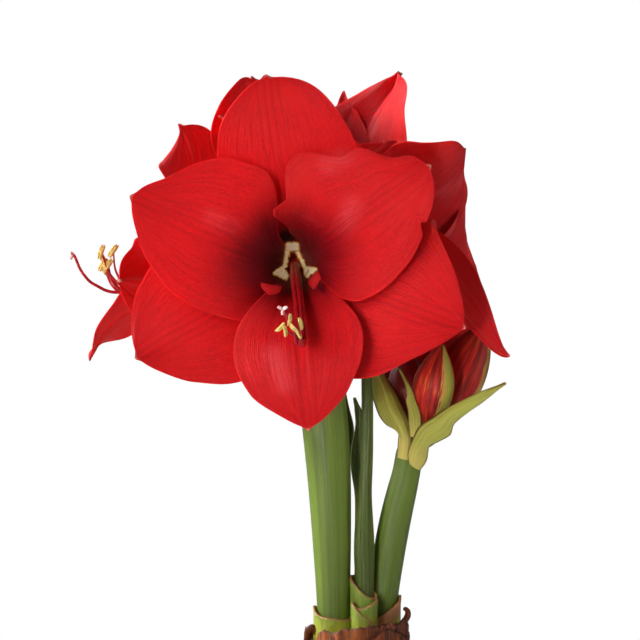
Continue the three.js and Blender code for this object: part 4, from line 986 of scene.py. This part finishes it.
# rows: left margin, middle and right margin from foot to tip; rim = strength of the brown margin
leafKind = {"thick": 1.8, "rim": 0.3, "material": leafGreen, "slot": "leaf_green"}
bractKind = {"thick": 1.0, "rim": 0.9, "material": bractOlive, "slot": "bract_olive"}
strips = {
    "leaf_front": {
        **leafKind, "rows": [
            ((-0.5, -4, 155), (4.3, -8, 155), (9.2, -4, 155)),
            ((-0.5, -4, 180), (4.3, -8, 180), (9.2, -4, 180)),
            ((-1.2, -4, 217.1), (3.6, -9, 217.9), (10.1, -3, 216.9)),
            ((-1.4, -4, 238.5), (3, -9, 239.2), (10.1, -3, 238.3)),
            ((0, -3, 265.8), (3.6, -9, 266.5), (8.9, -4, 265.9)),
            ((2.4, -3, 284), (4.2, -8, 284.6), (9.1, -5, 284.3)),
            ((2.7, -3, 302.3), (4.8, -8, 302.8), (9.3, -5, 302.5)),
            ((2.8, -3, 320.5), (5.3, -8, 321), (9.6, -5, 320.7)),
            ((3, -3, 339.9), (5.9, -8, 340.3), (8.7, -5, 340.1)),
            ((3.9, -3, 356.9), (5.9, -7, 357.1), (7.8, -5, 357)),
            ((5.4, -4, 366), (6, -5, 366.1), (6.6, -4, 366)),
        ]},
    "leaf_dark": {
        **leafKind, "rows": [
            ((-1.6, 3, 155), (0.2, 6, 155), (2, 4, 155)), ((-1.6, 3, 180), (0.2, 6, 180), (2, 4, 180)),
            ((-1.4, 4, 215.8), (1.1, 7, 215.3), (3.2, 5, 215.7)),
            ((-0.8, 5, 237.2), (2, 8, 236.7), (4.4, 6, 237)),
            ((-0.9, 6, 264.6), (2.2, 10, 264.1), (5.6, 8, 264.4)),
            ((-3.2, 8, 282.8), (0.2, 12, 282.3), (5.1, 10, 282.6)),
            ((-2.6, 8, 298.1), (0.2, 12, 297.7), (4.5, 10, 297.9)),
            ((-0.7, 9, 310.3), (1.4, 12, 310), (3.9, 10, 310.2)),
            ((-0.9, 9, 319.4), (0.8, 11, 319.3), (2.6, 10, 318.7)),
            ((-1.9, 9, 326.8), (-1.5, 9.4, 326.8), (-1.2, 9, 326.5)),
        ]},
    "leaf_behind": {
        **leafKind, "rows": [
            ((-13.4, 17, 155), (-9, 22, 155), (-4.8, 18, 155)),
            ((-13.4, 17, 180), (-9, 22, 180), (-4.8, 18, 180)),
            ((-13.6, 17, 213.8), (-9.2, 23, 212.8), (-4.9, 18, 213.6)),
            ((-14, 17, 235.4), (-9.6, 24, 234.4), (-4.9, 18, 235.3)),
            ((-14.4, 17, 263.3), (-10, 24, 262.4), (-4.7, 18, 263.1)),
            ((-13.6, 18, 287.8), (-9.2, 25, 287.1), (-3.8, 19, 287.7)),
            ((-12.6, 18, 306.3), (-8.2, 26, 305.6), (-1.8, 20, 306.1)),
            ((-15.7, 18, 321.7), (-11.3, 26, 321), (-4.9, 20, 321.5)),
            ((-19.3, 19, 337), (-15, 26, 336.5), (-8.9, 21, 336.9)),
            ((-22.4, 20, 348), (-19.3, 24, 347.7), (-15, 22, 347.9)),
            ((-24.2, 22, 355.3), (-23.6, 23, 355.2), (-22.7, 22, 355.3)),
        ]},
    "bract_left": {
        **bractKind, "rows": [
            ((24.4, 1, 291.5), (27.8, -4, 290.8), (31.4, -5, 290.3)),
            ((25.2, 0, 301.4), (28.4, -6, 300.8), (32.6, -6, 300.8)),
            ((24.3, 1, 306.8), (27.1, -7, 306.9), (33.2, -6, 307.4)),
            ((17.7, 3, 311.4), (24.1, -6, 312.3), (31.5, -3, 313.8)),
            ((12.9, 5, 317.4), (19.9, -4, 320), (28.5, 0, 321.5)),
            ((10.5, 7, 324.5), (16.9, -2, 327.7), (24.4, 4, 329.6)),
            ((9, 9, 331.7), (14.6, 0, 334.8), (20.2, 8, 336)),
            ((8.1, 11, 340.7), (12.2, 3, 342.5), (17.2, 10, 342.6)),
            ((7.8, 13, 348.5), (10.5, 7, 350.1), (14.2, 12, 351)),
            ((8.2, 15, 355.7), (9.3, 12, 357.1), (10.6, 14, 357.6)),
        ]},
    "bract_right": {
        **bractKind, "rows": [
            ((31.4, -6.5, 289.3), (34.5, -5.5, 286.1), (38.3, -0.5, 283.8)),
            ((30.6, -10.5, 295.8), (35.4, -11.5, 293.5), (42.4, -4.5, 290.3)),
            ((32.9, -13.5, 302.7), (37.7, -15.5, 299.9), (44, -8.5, 299.8)),
            ((37.6, -15.5, 312), (42.9, -18.5, 307.5), (48.6, -11.5, 301.9)),
            ((45.3, -17.5, 317.6), (49.4, -20.5, 312.5), (55.8, -13.5, 306.1)),
            ((53.1, -18.5, 322.5), (55.3, -21.5, 319.2), (58, -15.5, 313.2)),
            ((61.3, -20.5, 327.5), (63, -22.5, 324), (65.1, -17.5, 319.1)),
            ((71.9, -22.5, 332.4), (73.1, -23.5, 330.1), (74.5, -20.5, 326.6)),
            ((81.4, -23.5, 336.4), (81.9, -24.5, 335), (82.7, -22.5, 333.3)),
            ((87.9, -24.5, 339.2), (88.5, -24.5, 338.6), (88.8, -24.5, 338)),
        ]},
    "bract_narrow": {
        **bractKind, "thick": 0.9, "rows": [
            ((31.9, -9.5, 305.4), (34.2, -10.5, 304.9), (36.6, -11, 305.5)),
            ((31.2, -11, 312.8), (34.7, -13, 312.3), (38.3, -13.5, 313)),
            ((30.6, -11, 320), (34.1, -13.5, 319.6), (37.7, -14, 320.3)),
            ((29.4, -9, 327.1), (32.3, -12, 326.7), (35.3, -13, 326.8)),
            ((30, -9, 330.7), (31.8, -10.5, 331.4), (33.6, -11, 332.1)),
            ((28.3, -7, 338.4), (28.9, -7, 339), (29.5, -7, 339.6)),
            ((25, -4, 345.5), (25.3, -4, 345.8), (25.6, -4, 346.1)),
        ]},
}


def stripPart(data, seed, rows=90, cols=30):
    left, middle, right = zip(*data["rows"])
    u = np.linspace(0, 1, cols + 1)[:, None]
    grid = []
    for j in range(rows + 1):
        s = j / rows
        a, b, c = along(left, s), along(middle, s), along(right, s)
        grid.append(a * (1 - u) * (1 - 2 * u) + b * 4 * u * (1 - u) + c * u * (2 * u - 1))
    grid = np.array(grid)
    sAll, tAll = np.meshgrid(np.linspace(0, 1, rows + 1), np.linspace(-1, 1, cols + 1), indexing="ij")
    ripple = 0.12 * np.sin(tAll * 15 + seed) + 0.1 * np.sin(tAll * 27 + seed * 2)
    ripple = ripple + 0.25 * np.abs(tAll) ** 3 * np.sin(sAll * 24 + seed)
    ripple = ripple * (smooth(sAll / 0.1) * smooth((1 - sAll) / 0.1))
    grid = grid + gridNormals(grid) * ripple[..., None]
    thick = data["thick"] * (0.4 + 0.6 * smooth((1 - np.abs(tAll)) / 0.5))
    margin = smooth((np.abs(tAll) - 0.84) / 0.07) * data["rim"]
    fade = np.maximum(margin, smooth((sAll - 0.95) / 0.05) * 0.8)
    return sheetPart(grid, thick, 1, sAll, tAll, fade=fade, tone=np.full(sAll.shape, seed))


for k, (node, data) in enumerate(strips.items()):
    kind, where = node.split("_")
    strip = stripPart(data, 1.7 * k + 0.6)
    makePiece(kind + where.capitalize(), [(strip, 0)], [data["material"]], [node])
print("leaves and bracts made")


# Buds
budLook = {
    "red": paint(206, 30, 24), "deep": paint(104, 10, 14), "green": paint(160, 156, 56),
    "gold": paint(214, 170, 82), "orange": paint(224, 74, 40),
}


def budMaterial():
    look = budLook
    material, tree, shader = newMaterial("bud red and green", 0.4, Specular_IOR_Level=0.25)
    lines = veinLines(tree, 46.0, 2.4)
    colour = blend(tree, lines["Streaks"], look["deep"], look["red"])
    colour = blend(tree, times(tree, lines["Fine"], 0.35), colour, look["orange"])
    ragged = sums(tree, "MULTIPLY_ADD", lines["Streaks"], 0.24, reading(tree, "green"))
    ragged = sums(tree, "MULTIPLY_ADD", lines["Fine"], 0.36, ragged)
    colour = blend(tree, stepUp(tree, ragged, 0.66, 0.95, 0.0, 0.8), colour, look["gold"])
    colour = blend(tree, stepUp(tree, ragged, 0.8, 1.15), colour, look["green"])
    # painted shade: darker where the sepals lap, and over a whole bud that stands in shadow
    colour = blend(tree, reading(tree, "seam"), colour, look["deep"])
    finishLook(tree, shader, colour, 0.4, 0.0003, lines["Fine"])
    return material


budRed = budMaterial()
budOutline = [0.3, 0.62, 0.86, 0.98, 1, 0.92, 0.74, 0.46, 0.12]


def budPart(data, seed, sides=84, rows=70):
    base, tip = np.array(data["base"], float), np.array(data["tip"], float)
    axis = tip - base
    long = np.linalg.norm(axis)
    green, seam = [], []

    def shape(r, h, angle, j):        # three sepals that lap, with a slow twist; painted shade where they lap
        s = h / long
        swung = math.degrees(angle) - data["turn"] + 14 * s
        turn = swung % 120 - 60       # 0 on a sepal's keel
        lap = 1 / (1 + math.exp(-(abs(turn) - 57) * 1.6))
        keel = math.exp(-(turn / 11) ** 2)
        strong = data["green"] * (1 if swung % 360 < 120 else 0.2)
        wide = data["band"] * (1.3 - 0.6 * s)
        green.append(max(data["streak"], strong * math.exp(-abs(turn / wide) ** 3)))
        seam.append(max(data["shade"], lap * 0.8 * smooth((s - 0.05) / 0.1)))
        ribs = 1 + 0.05 * math.cos(3 * angle + math.radians(data["roll"]))
        return r * (ribs + 0.03 * keel - 0.045 * lap + 0.006 * math.sin(31 * angle)), h

    stations = [(long * k / (len(budOutline) - 1), data["radius"] * w) for k, w in enumerate(budOutline)]
    made = turnedPart(stations, sides, base, axis, shape, rows=rows, tone=seed)
    made["values"]["green"], made["values"]["seam"] = np.array(green, float), np.array(seam, float)
    return made


for k, (name, data) in enumerate(buds.items()):
    bud = budPart(data, 2.1 + k)
    makePiece("bud" + name.capitalize() + "Shape", [(bud, 0)], [budRed], ["bud_" + name])
print("buds made")


# Neck of the bulb: green sheaths with papery rims
sheathLook = {
    "low": paint(192, 188, 52), "mid": paint(132, 152, 52), "high": paint(110, 132, 48),
    "rim": paint(182, 118, 80), "stain": paint(190, 132, 80),
}


def sheathMaterial():
    look = sheathLook
    material, tree, shader = newMaterial("neck sheath", 0.45, Specular_IOR_Level=0.38)
    lines = veinLines(tree, 40.0, 3.0)
    spots = useGroup(tree, mottle, Scale=70.0, Stretch=0.6)
    colour = blend(tree, reading(tree, "low"), look["mid"], look["low"])
    colour = blend(tree, times(tree, lines["Streaks"], 0.5), colour, look["high"])
    colour = blend(tree, stepUp(tree, spots["Patches"], 0.6, 0.8, 0.0, 0.5), colour, look["stain"])
    ragged = sums(tree, "MULTIPLY_ADD", lines["Fine"], 0.2, reading(tree, "rim"))
    colour = blend(tree, times(tree, stepUp(tree, ragged, 0.75, 1.0), 0.95), colour, look["rim"])
    finishLook(tree, shader, colour, 0.5, 0.0004, lines["Fine"])
    return material


sheathGreen = sheathMaterial()
# middle, half width and depth, rim = height of the rim, slope = its slope to the right and to the back,
# ends = its lift at the left and right ends, paper = width of the papery rim
sheaths = [
    {"at": (-13.9, -2), "half": (12.6, 11.2), "rim": 196.5, "slope": (-0.07, 0.17), "ends": (3.6, 0),
     "paper": 1.4},
    {"at": (3.9, -4.5), "half": (8.2, 8), "rim": 213.2, "slope": (-0.73, 0.35), "ends": (0, 0),
     "paper": 1.3},
    {"at": (4.8, -10.5), "half": (7.6, 6.4), "rim": 204.6, "slope": (0.25, 0.3), "ends": (0, 0),
     "paper": 1.2},
    {"at": (3.6, -13), "half": (7, 5.6), "rim": 198.4, "slope": (-0.9, 0.1), "ends": (0, 0),
     "paper": 1.8},
    {"at": (14.6, 8.4), "half": (12.6, 11.4), "rim": 197, "slope": (0.55, 0.2), "ends": (0, 1.5),
     "paper": 14.0},
]


# levels of a sheath's rings: heights below the neck, then shares of the way from there to the rim
sheathNeck = 180
sheathLevels = [(160, "below"), (172, "below"), (sheathNeck, "below"), (0.5, "outside"), (0.8, "outside"),
                (0.93, "outside"), (1.0, "outside"), (1.0, "inside"), (0.9, "inside"), (0.5, "inside")]
sheathThick = 1.1


def sheathPart(data, seed, sides=96):
    rings, rims, lows = [], [], []
    for level, where in sheathLevels:
        ring = []
        for i in range(sides):
            angle = 2 * math.pi * i / sides
            x, y = data["half"][0] * math.cos(angle), data["half"][1] * math.sin(angle)
            lip = data["rim"] + data["slope"][0] * x + data["slope"][1] * y
            lip += data["ends"][x > 0] * (x / data["half"][0]) ** 6
            lip += 0.35 * math.sin(3 * angle + seed) + 0.12 * math.sin(13 * angle + seed * 2)
            z = level if where == "below" else sheathNeck + (lip - sheathNeck) * level
            k = 1 + 0.012 * math.sin(7 * angle + seed) + (0.03 if where == "outside" and level > 0.9 else 0)
            if where == "inside":
                k -= sheathThick / max(data["half"])
            ring.append((data["at"][0] + x * k, data["at"][1] + y * k, z))
            paper = data["paper"]
            rims.append(1.0 if z > lip - paper * 0.6 else max(0.0, 1 - (lip - z) / (paper * 2.5)))
            lows.append(float(smooth((198 - z) / 16)))
        rings.append(ring)
    made = ringsPart(rings, tone=seed)
    made["values"]["rim"], made["values"]["low"] = np.array(rims), np.array(lows)
    return made


neckParts = [(sheathPart(d, 1.1 + k), 0) for k, d in enumerate(sheaths)]
core = turnedPart([(150.3, 28), (172, 28), (179, 26), (182, 22)], 72, rows=16, tone=0.4)   # between them
core["values"]["low"] = np.ones(len(core["points"]))
neckParts.append((core, 0))
makePiece("neckSheaths", neckParts, [sheathGreen], ["neck_sheaths"])
print("neck sheaths made")


# Bulb under its dry brown coats
bulbLook = {
    "brown": paint(156, 70, 24), "dark": paint(50, 18, 6), "pale": paint(206, 122, 60),
    "grey": paint(104, 52, 26),
}


def bulbMaterial():
    look = bulbLook
    material, tree, shader = newMaterial("bulb coat", 0.5, Specular_IOR_Level=0.35)
    lines = veinLines(tree, 70.0, 3.0)
    spots = useGroup(tree, mottle, Scale=34.0, Stretch=0.6)
    colour = blend(tree, lines["Streaks"], look["dark"], look["brown"])
    colour = blend(tree, stepUp(tree, spots["Patches"], 0.48, 0.62, 0.0, 0.8), colour, look["pale"])
    colour = blend(tree, times(tree, lines["Fine"], 0.4), colour, look["grey"])
    colour = blend(tree, reading(tree, "edge"), colour, look["dark"])
    finishLook(tree, shader, colour, 0.7, 0.0008, sums(tree, "ADD", lines["Fine"], spots["Grain"]))
    return material


bulbBrown = bulbMaterial()
# height and radius
bulbOutline = [(66, 10), (69, 22), (78, 36), (92, 46), (110, 50), (126, 49.5), (142, 44), (156, 37),
               (168, 32.6), (178, 31), (184, 31)]


def bulbRadius(z):
    heights, radii = zip(*bulbOutline)
    return float(np.interp(z, heights, radii))


def hill(angle, middle, width, height):
    gap = (angle - middle + math.pi) % (2 * math.pi) - math.pi
    return height * math.exp(-(gap / width) ** 2)


def coatPart(coat, sides=190, rows=60):       # one dry skin round the bulb
    low, tear, seed = coat["low"], coat["tear"], coat["seed"]
    grid, edges = [], []
    for j in range(rows + 1):
        row, edgeRow = [], []
        for i in range(sides + 1):
            angle = 2 * math.pi * i / sides
            around = (math.cos(angle) * 3, math.sin(angle) * 3, seed)
            top = coat["top"] + sum(hill(angle, *h) for h in coat["hills"])
            top = top + tear * wobble(around, 1.1, seed) + 0.35 * tear * wobble(around, 4.5, seed)
            z = low + (top - low) * (j / rows)
            curl = coat["flare"] * smooth((z - top + 9) / 9)
            r = bulbRadius(z) + coat["off"] + curl * (0.5 + wobble(around, 1.9, seed + 5)) ** 2
            dimple = 0.5 * wobble((around[0], around[1], z * 0.05), 1.6, seed)
            r += dimple + 0.25 * math.sin(41 * angle + z * 0.03)
            row.append((r * math.cos(angle), r * math.sin(angle), z))
            edgeRow.append(0.75 * float(smooth((z - top + 1.4) / 1.4)))
        grid.append(row)
        edges.append(edgeRow)
    grid = np.array(grid)
    sAll, tAll = np.meshgrid(np.linspace(0, 1, rows + 1), np.linspace(-1, 1, sides + 1), indexing="ij")
    return sheetPart(grid, 0.5, 1, sAll, tAll, edge=np.array(edges), tone=np.full(sAll.shape, seed))


def bulbShape(r, h, angle, j):
    return r + (0.5 * math.sin(5 * angle) + 0.3 * math.sin(11 * angle)) * min(1, r / 30) - 0.6, h


# low = foot, top = height of its torn rim, hills = where round the bulb, half width and height,
# off = distance from the bulb, tear = how ragged the rim is, flare = how far it curls out
coats = [
    {"low": 100, "top": 186, "hills": [(3.5, 0.28, -9), (4.9, 0.9, 7), (5.8, 0.35, 7)],
     "off": 0.0, "seed": 1.7, "tear": 4.4, "flare": 1.6},
    {"low": 96, "top": 182, "hills": [(5.3, 0.6, 7), (4.35, 0.2, 4), (3.6, 0.3, -6)],
     "off": 0.7, "seed": 4.1, "tear": 5.4, "flare": 1.4},
    {"low": 90, "top": 150, "hills": [(1.2, 0.7, 14), (4.4, 0.5, 18)],
     "off": 1.3, "seed": 7.9, "tear": 7.0, "flare": 2.2},
]
hooks = [                     # rolled ends of torn skin: line and radii
    ([(26.8, -6, 186), (27.4, -5, 190.2), (29.6, -4, 192.8), (31, -4, 195.8), (30.6, -4, 198.4),
      (29.1, -4, 199.6), (28.6, -4, 198.4)], [1.6, 1.9, 1.9, 1.4, 0.5]),
    ([(-30.5, -5, 177), (-30.7, -5, 184), (-29.2, -6, 187.6), (-26.8, -6, 189.1), (-25.6, -7, 187),
      (-26.5, -7, 184)], [1.2, 1.5, 1.5, 1.1, 0.4]),
]
bulbParts = [turnedPart(bulbOutline[:-1] + [(180, 28), (181, 20)], 96, shape=bulbShape, rows=60, tone=1.0)]
bulbParts += [coatPart(coat) for coat in coats]
bulbParts += [tubePart(line, radii, 10, 30, tone=3.0) for line, radii in hooks]
makePiece("bulbCoats", [(p, 0) for p in bulbParts], [bulbBrown], ["bulb"])
print("bulb made")


# Pot and soil
potSize = {
    "height": 135, "base": 52, "rim": 80, "wall": 5, "floor": 6, "collar": 23, "hole": 4.5, "holePlace": 30,
}
soilSize = {"top": 117, "crumbs": 420}
potLook = {
    "clay": paint(186, 104, 66), "light": paint(206, 134, 94), "dark": paint(150, 78, 50),
    "bloom": paint(214, 176, 148), "soil": paint(74, 52, 38), "soilDark": paint(34, 24, 18),
}


def clayMaterial():
    look = potLook
    material, tree, shader = newMaterial("fired clay", 0.86, Specular_IOR_Level=0.2)
    spots = useGroup(tree, mottle, Scale=16.0, Stretch=1.0)
    turned = useGroup(tree, mottle, Scale=7.0, Stretch=22.0)
    colour = blend(tree, stepUp(tree, spots["Patches"], 0.35, 0.65), look["clay"], look["light"])
    colour = blend(tree, stepUp(tree, turned["Patches"], 0.5, 0.7, 0.0, 0.35), colour, look["dark"])
    colour = blend(tree, stepUp(tree, spots["Grain"], 0.62, 0.8, 0.0, 0.5), colour, look["bloom"])
    finishLook(tree, shader, colour, 0.5, 0.0005, sums(tree, "ADD", turned["Patches"], spots["Grain"]))
    return material


fired = clayMaterial()
high, base, rim, wall = (potSize[k] for k in ("height", "base", "rim", "wall"))
ground, collar = potSize["floor"], potSize["collar"]
step, lower, inside = high - collar, rim - 8, rim - wall - 1
potOutline = [                # outside from the base up, then the inside down; height and radius
    (0, 1), (0, base - 1.2), (0.4, base - 0.3), (1.2, base + 0.2), (step - 1, lower - 0.2),
    (step - 0.4, lower + 0.3), (step - 0.2, lower + 5.5), (step + 0.8, lower + 6.8), (step + 3, rim - 1.1),
    (high - 2.2, rim - 0.1), (high - 0.8, rim - 0.5), (high, rim - 1.8), (high, inside + 1.6),
    (high - 0.8, inside + 0.4), (high - 2, inside), (step, lower - wall), (ground + 1, base - wall),
    (ground, base - wall - 1.5), (ground, 1),
]
pot = makePiece("clayPot", [(turnedPart(potOutline, 144), 0)], [fired], ["pot"])
for k in range(4):
    turn, reach = math.radians(45 + 90 * k), potSize["holePlace"] * mm
    holeAt = (reach * math.cos(turn), reach * math.sin(turn), ground / 2 * mm)
    bpy.ops.mesh.primitive_cylinder_add(vertices=32, radius=potSize["hole"] * mm, depth=20 * mm,
                                        location=holeAt)
    drill = bpy.context.object
    cut = pot.modifiers.new("drain hole", "BOOLEAN")
    cut.operation, cut.solver, cut.object = "DIFFERENCE", "EXACT", drill
    bpy.context.view_layer.objects.active = pot
    bpy.ops.object.modifier_apply(modifier=cut.name)
    bpy.data.objects.remove(drill)

soilBrown = plainPlantMaterial("potting soil", potLook["soil"], potLook["soilDark"], 0.95, 260.0, 0.0012,
                               Specular_IOR_Level=0.15)


def soilParts():
    top = soilSize["top"]
    reach = inside - 0.6 - (high + 2 - top) * (inside - lower + wall) / (collar + 2)
    stations = [(ground + 0.4, 4), (ground + 0.4, base - wall - 2), (step, lower - wall - 0.5)]
    stations += [(top - 1, reach)]
    stations += [(top, reach + (42 - reach) * k / 22) for k in range(23)]

    def crumble(r, h, angle, j):      # only the top is rough
        spot = (r * math.cos(angle), r * math.sin(angle), 0)
        lump = 1.1 * wobble(spot, 0.09) + 0.8 * wobble(spot, 0.31, 4) + 0.5 * wobble(spot, 0.8, 9)
        return r, h + (lump if j > 3 else 0)

    parts = [turnedPart(stations, 160, shape=crumble)]
    for k in range(soilSize["crumbs"]):
        r, turn = 49 + 22.5 * math.sqrt(rng.random()), 2 * math.pi * rng.random()
        size = 0.5 + 1.1 * rng.random() ** 2
        spot = (r * math.cos(turn), r * math.sin(turn), top + size * 0.3)
        squash = 0.5 + 0.6 * rng.random()
        profile = [(size * squash * math.sin(a), size * math.cos(a) + 0.02)
                   for a in (-1.5, -0.8, 0, 0.8, 1.5)]
        parts.append(turnedPart(profile, 6, spot, (rng.normal(), rng.normal(), 1.2)))
    return parts


makePiece("pottingSoil", [(p, 0) for p in soilParts()], [soilBrown], ["potting_soil"])
print("pot and soil made")


# Floor, light and camera, in metres
studio = {
    "floor": 9.0, "floorColour": (0.86, 0.86, 0.86, 1),
    "fadeFrom": 0.3, "fadeTo": 0.95,          # the floor turns white for the camera between these distances
    "sky": 0.1, "backdrop": 1.0,              # light from all round, and the white that the camera sees
}
white = (1, 1, 1, 1)


def mixShaders(tree, amount, first, second, into):
    mixed = tree.nodes.new("ShaderNodeMixShader")
    for socket, output in zip(mixed.inputs, (amount, first.outputs[0], second.outputs[0])):
        tree.links.new(output, socket)
    tree.links.new(mixed.outputs[0], tree.nodes[into].inputs["Surface"])


def cameraRays(tree):
    return tree.nodes.new("ShaderNodeLightPath").outputs["Is Camera Ray"]


far = studio["floor"]
floorMesh = bpy.data.meshes.new("floor")
floorMesh.from_pydata([(-far, -far, 0), (far, -far, 0), (far, far, 0), (-far, far, 0)], [], [(0, 1, 2, 3)])
floor = bpy.data.objects.new("floor", floorMesh)
scene.collection.objects.link(floor)
paleFloor, tree, shader = newMaterial("pale floor", 0.9, Base_Color=studio["floorColour"],
                                      Specular_IOR_Level=0.1)
away = vectors(tree, "LENGTH", tree.nodes.new("ShaderNodeTexCoord").outputs["Object"])
fade = times(tree, stepUp(tree, away, studio["fadeFrom"], studio["fadeTo"]), cameraRays(tree))
mixShaders(tree, fade, shader, tree.nodes.new("ShaderNodeEmission"), "Material Output")
floorMesh.materials.append(paleFloor)

world = bpy.data.worlds.new("studio")
scene.world = world
world.use_nodes = True
sky = world.node_tree
sky.nodes["Background"].inputs["Color"].default_value = white
sky.nodes["Background"].inputs["Strength"].default_value = studio["sky"]
backdrop = place(sky, "ShaderNodeBackground", Color=white, Strength=studio["backdrop"])
mixShaders(sky, cameraRays(sky), sky.nodes["Background"], backdrop, "World Output")

softboxes = {
    "key": {"at": (-1.2, -1.5, 1.1), "size": 0.7, "power": 13.2, "aim": (0, 0, 0.38), "spread": 180},
    "front": {"at": (-0.7, -1.65, 0.6), "size": 0.3, "power": 4, "aim": (0, 0, 0.36), "spread": 180},
    "fill": {"at": (1.2, -1.6, 0.5), "size": 1.0, "power": 0.5, "aim": (0, 0, 0.34), "spread": 180},
    "petals": {"at": (-0.6, -1.6, 0.25), "size": 0.3, "power": 0.14, "aim": (0.04, -0.1, 0.385),
               "spread": 14},
    "left": {"at": (-1.4, 0.3, 0.95), "size": 0.9, "power": 4.8, "aim": (-0.13, 0, 0.47), "spread": 34},
    "right": {"at": (1.5, -0.6, 0.8), "size": 0.5, "power": 0.16, "aim": (0.1, 0, 0.48), "spread": 18},
    "back": {"at": (-0.5, 1.7, 1.2), "size": 1.2, "power": 6, "aim": (0, 0, 0.36), "spread": 180},
}
for name, box in softboxes.items():
    lamp = bpy.data.lights.new(name, "AREA")
    lamp.shape, lamp.size, lamp.energy = "SQUARE", box["size"], box["power"]
    lamp.spread = math.radians(box["spread"])
    holder = bpy.data.objects.new(name, lamp)
    holder.location = box["at"]
    holder.rotation_euler = (Vector(box["aim"]) - Vector(box["at"])).to_track_quat("-Z", "Y").to_euler()
    scene.collection.objects.link(holder)

cameraSet = {"at": (-0.0224, -1.5, 0.4535), "pitch": -3.0, "lens": 139.6, "sensor": 36.0, "reach": 60}
lensData = bpy.data.cameras.new("camera")
lensData.lens, lensData.sensor_width = cameraSet["lens"], cameraSet["sensor"]
lensData.clip_end = cameraSet["reach"]
camera = bpy.data.objects.new("camera", lensData)
camera.location = cameraSet["at"]
camera.rotation_euler = (math.radians(90 + cameraSet["pitch"]), 0, 0)
scene.collection.objects.link(camera)
scene.camera = camera
scene.view_settings.view_transform = "Standard"

print("scene ready")
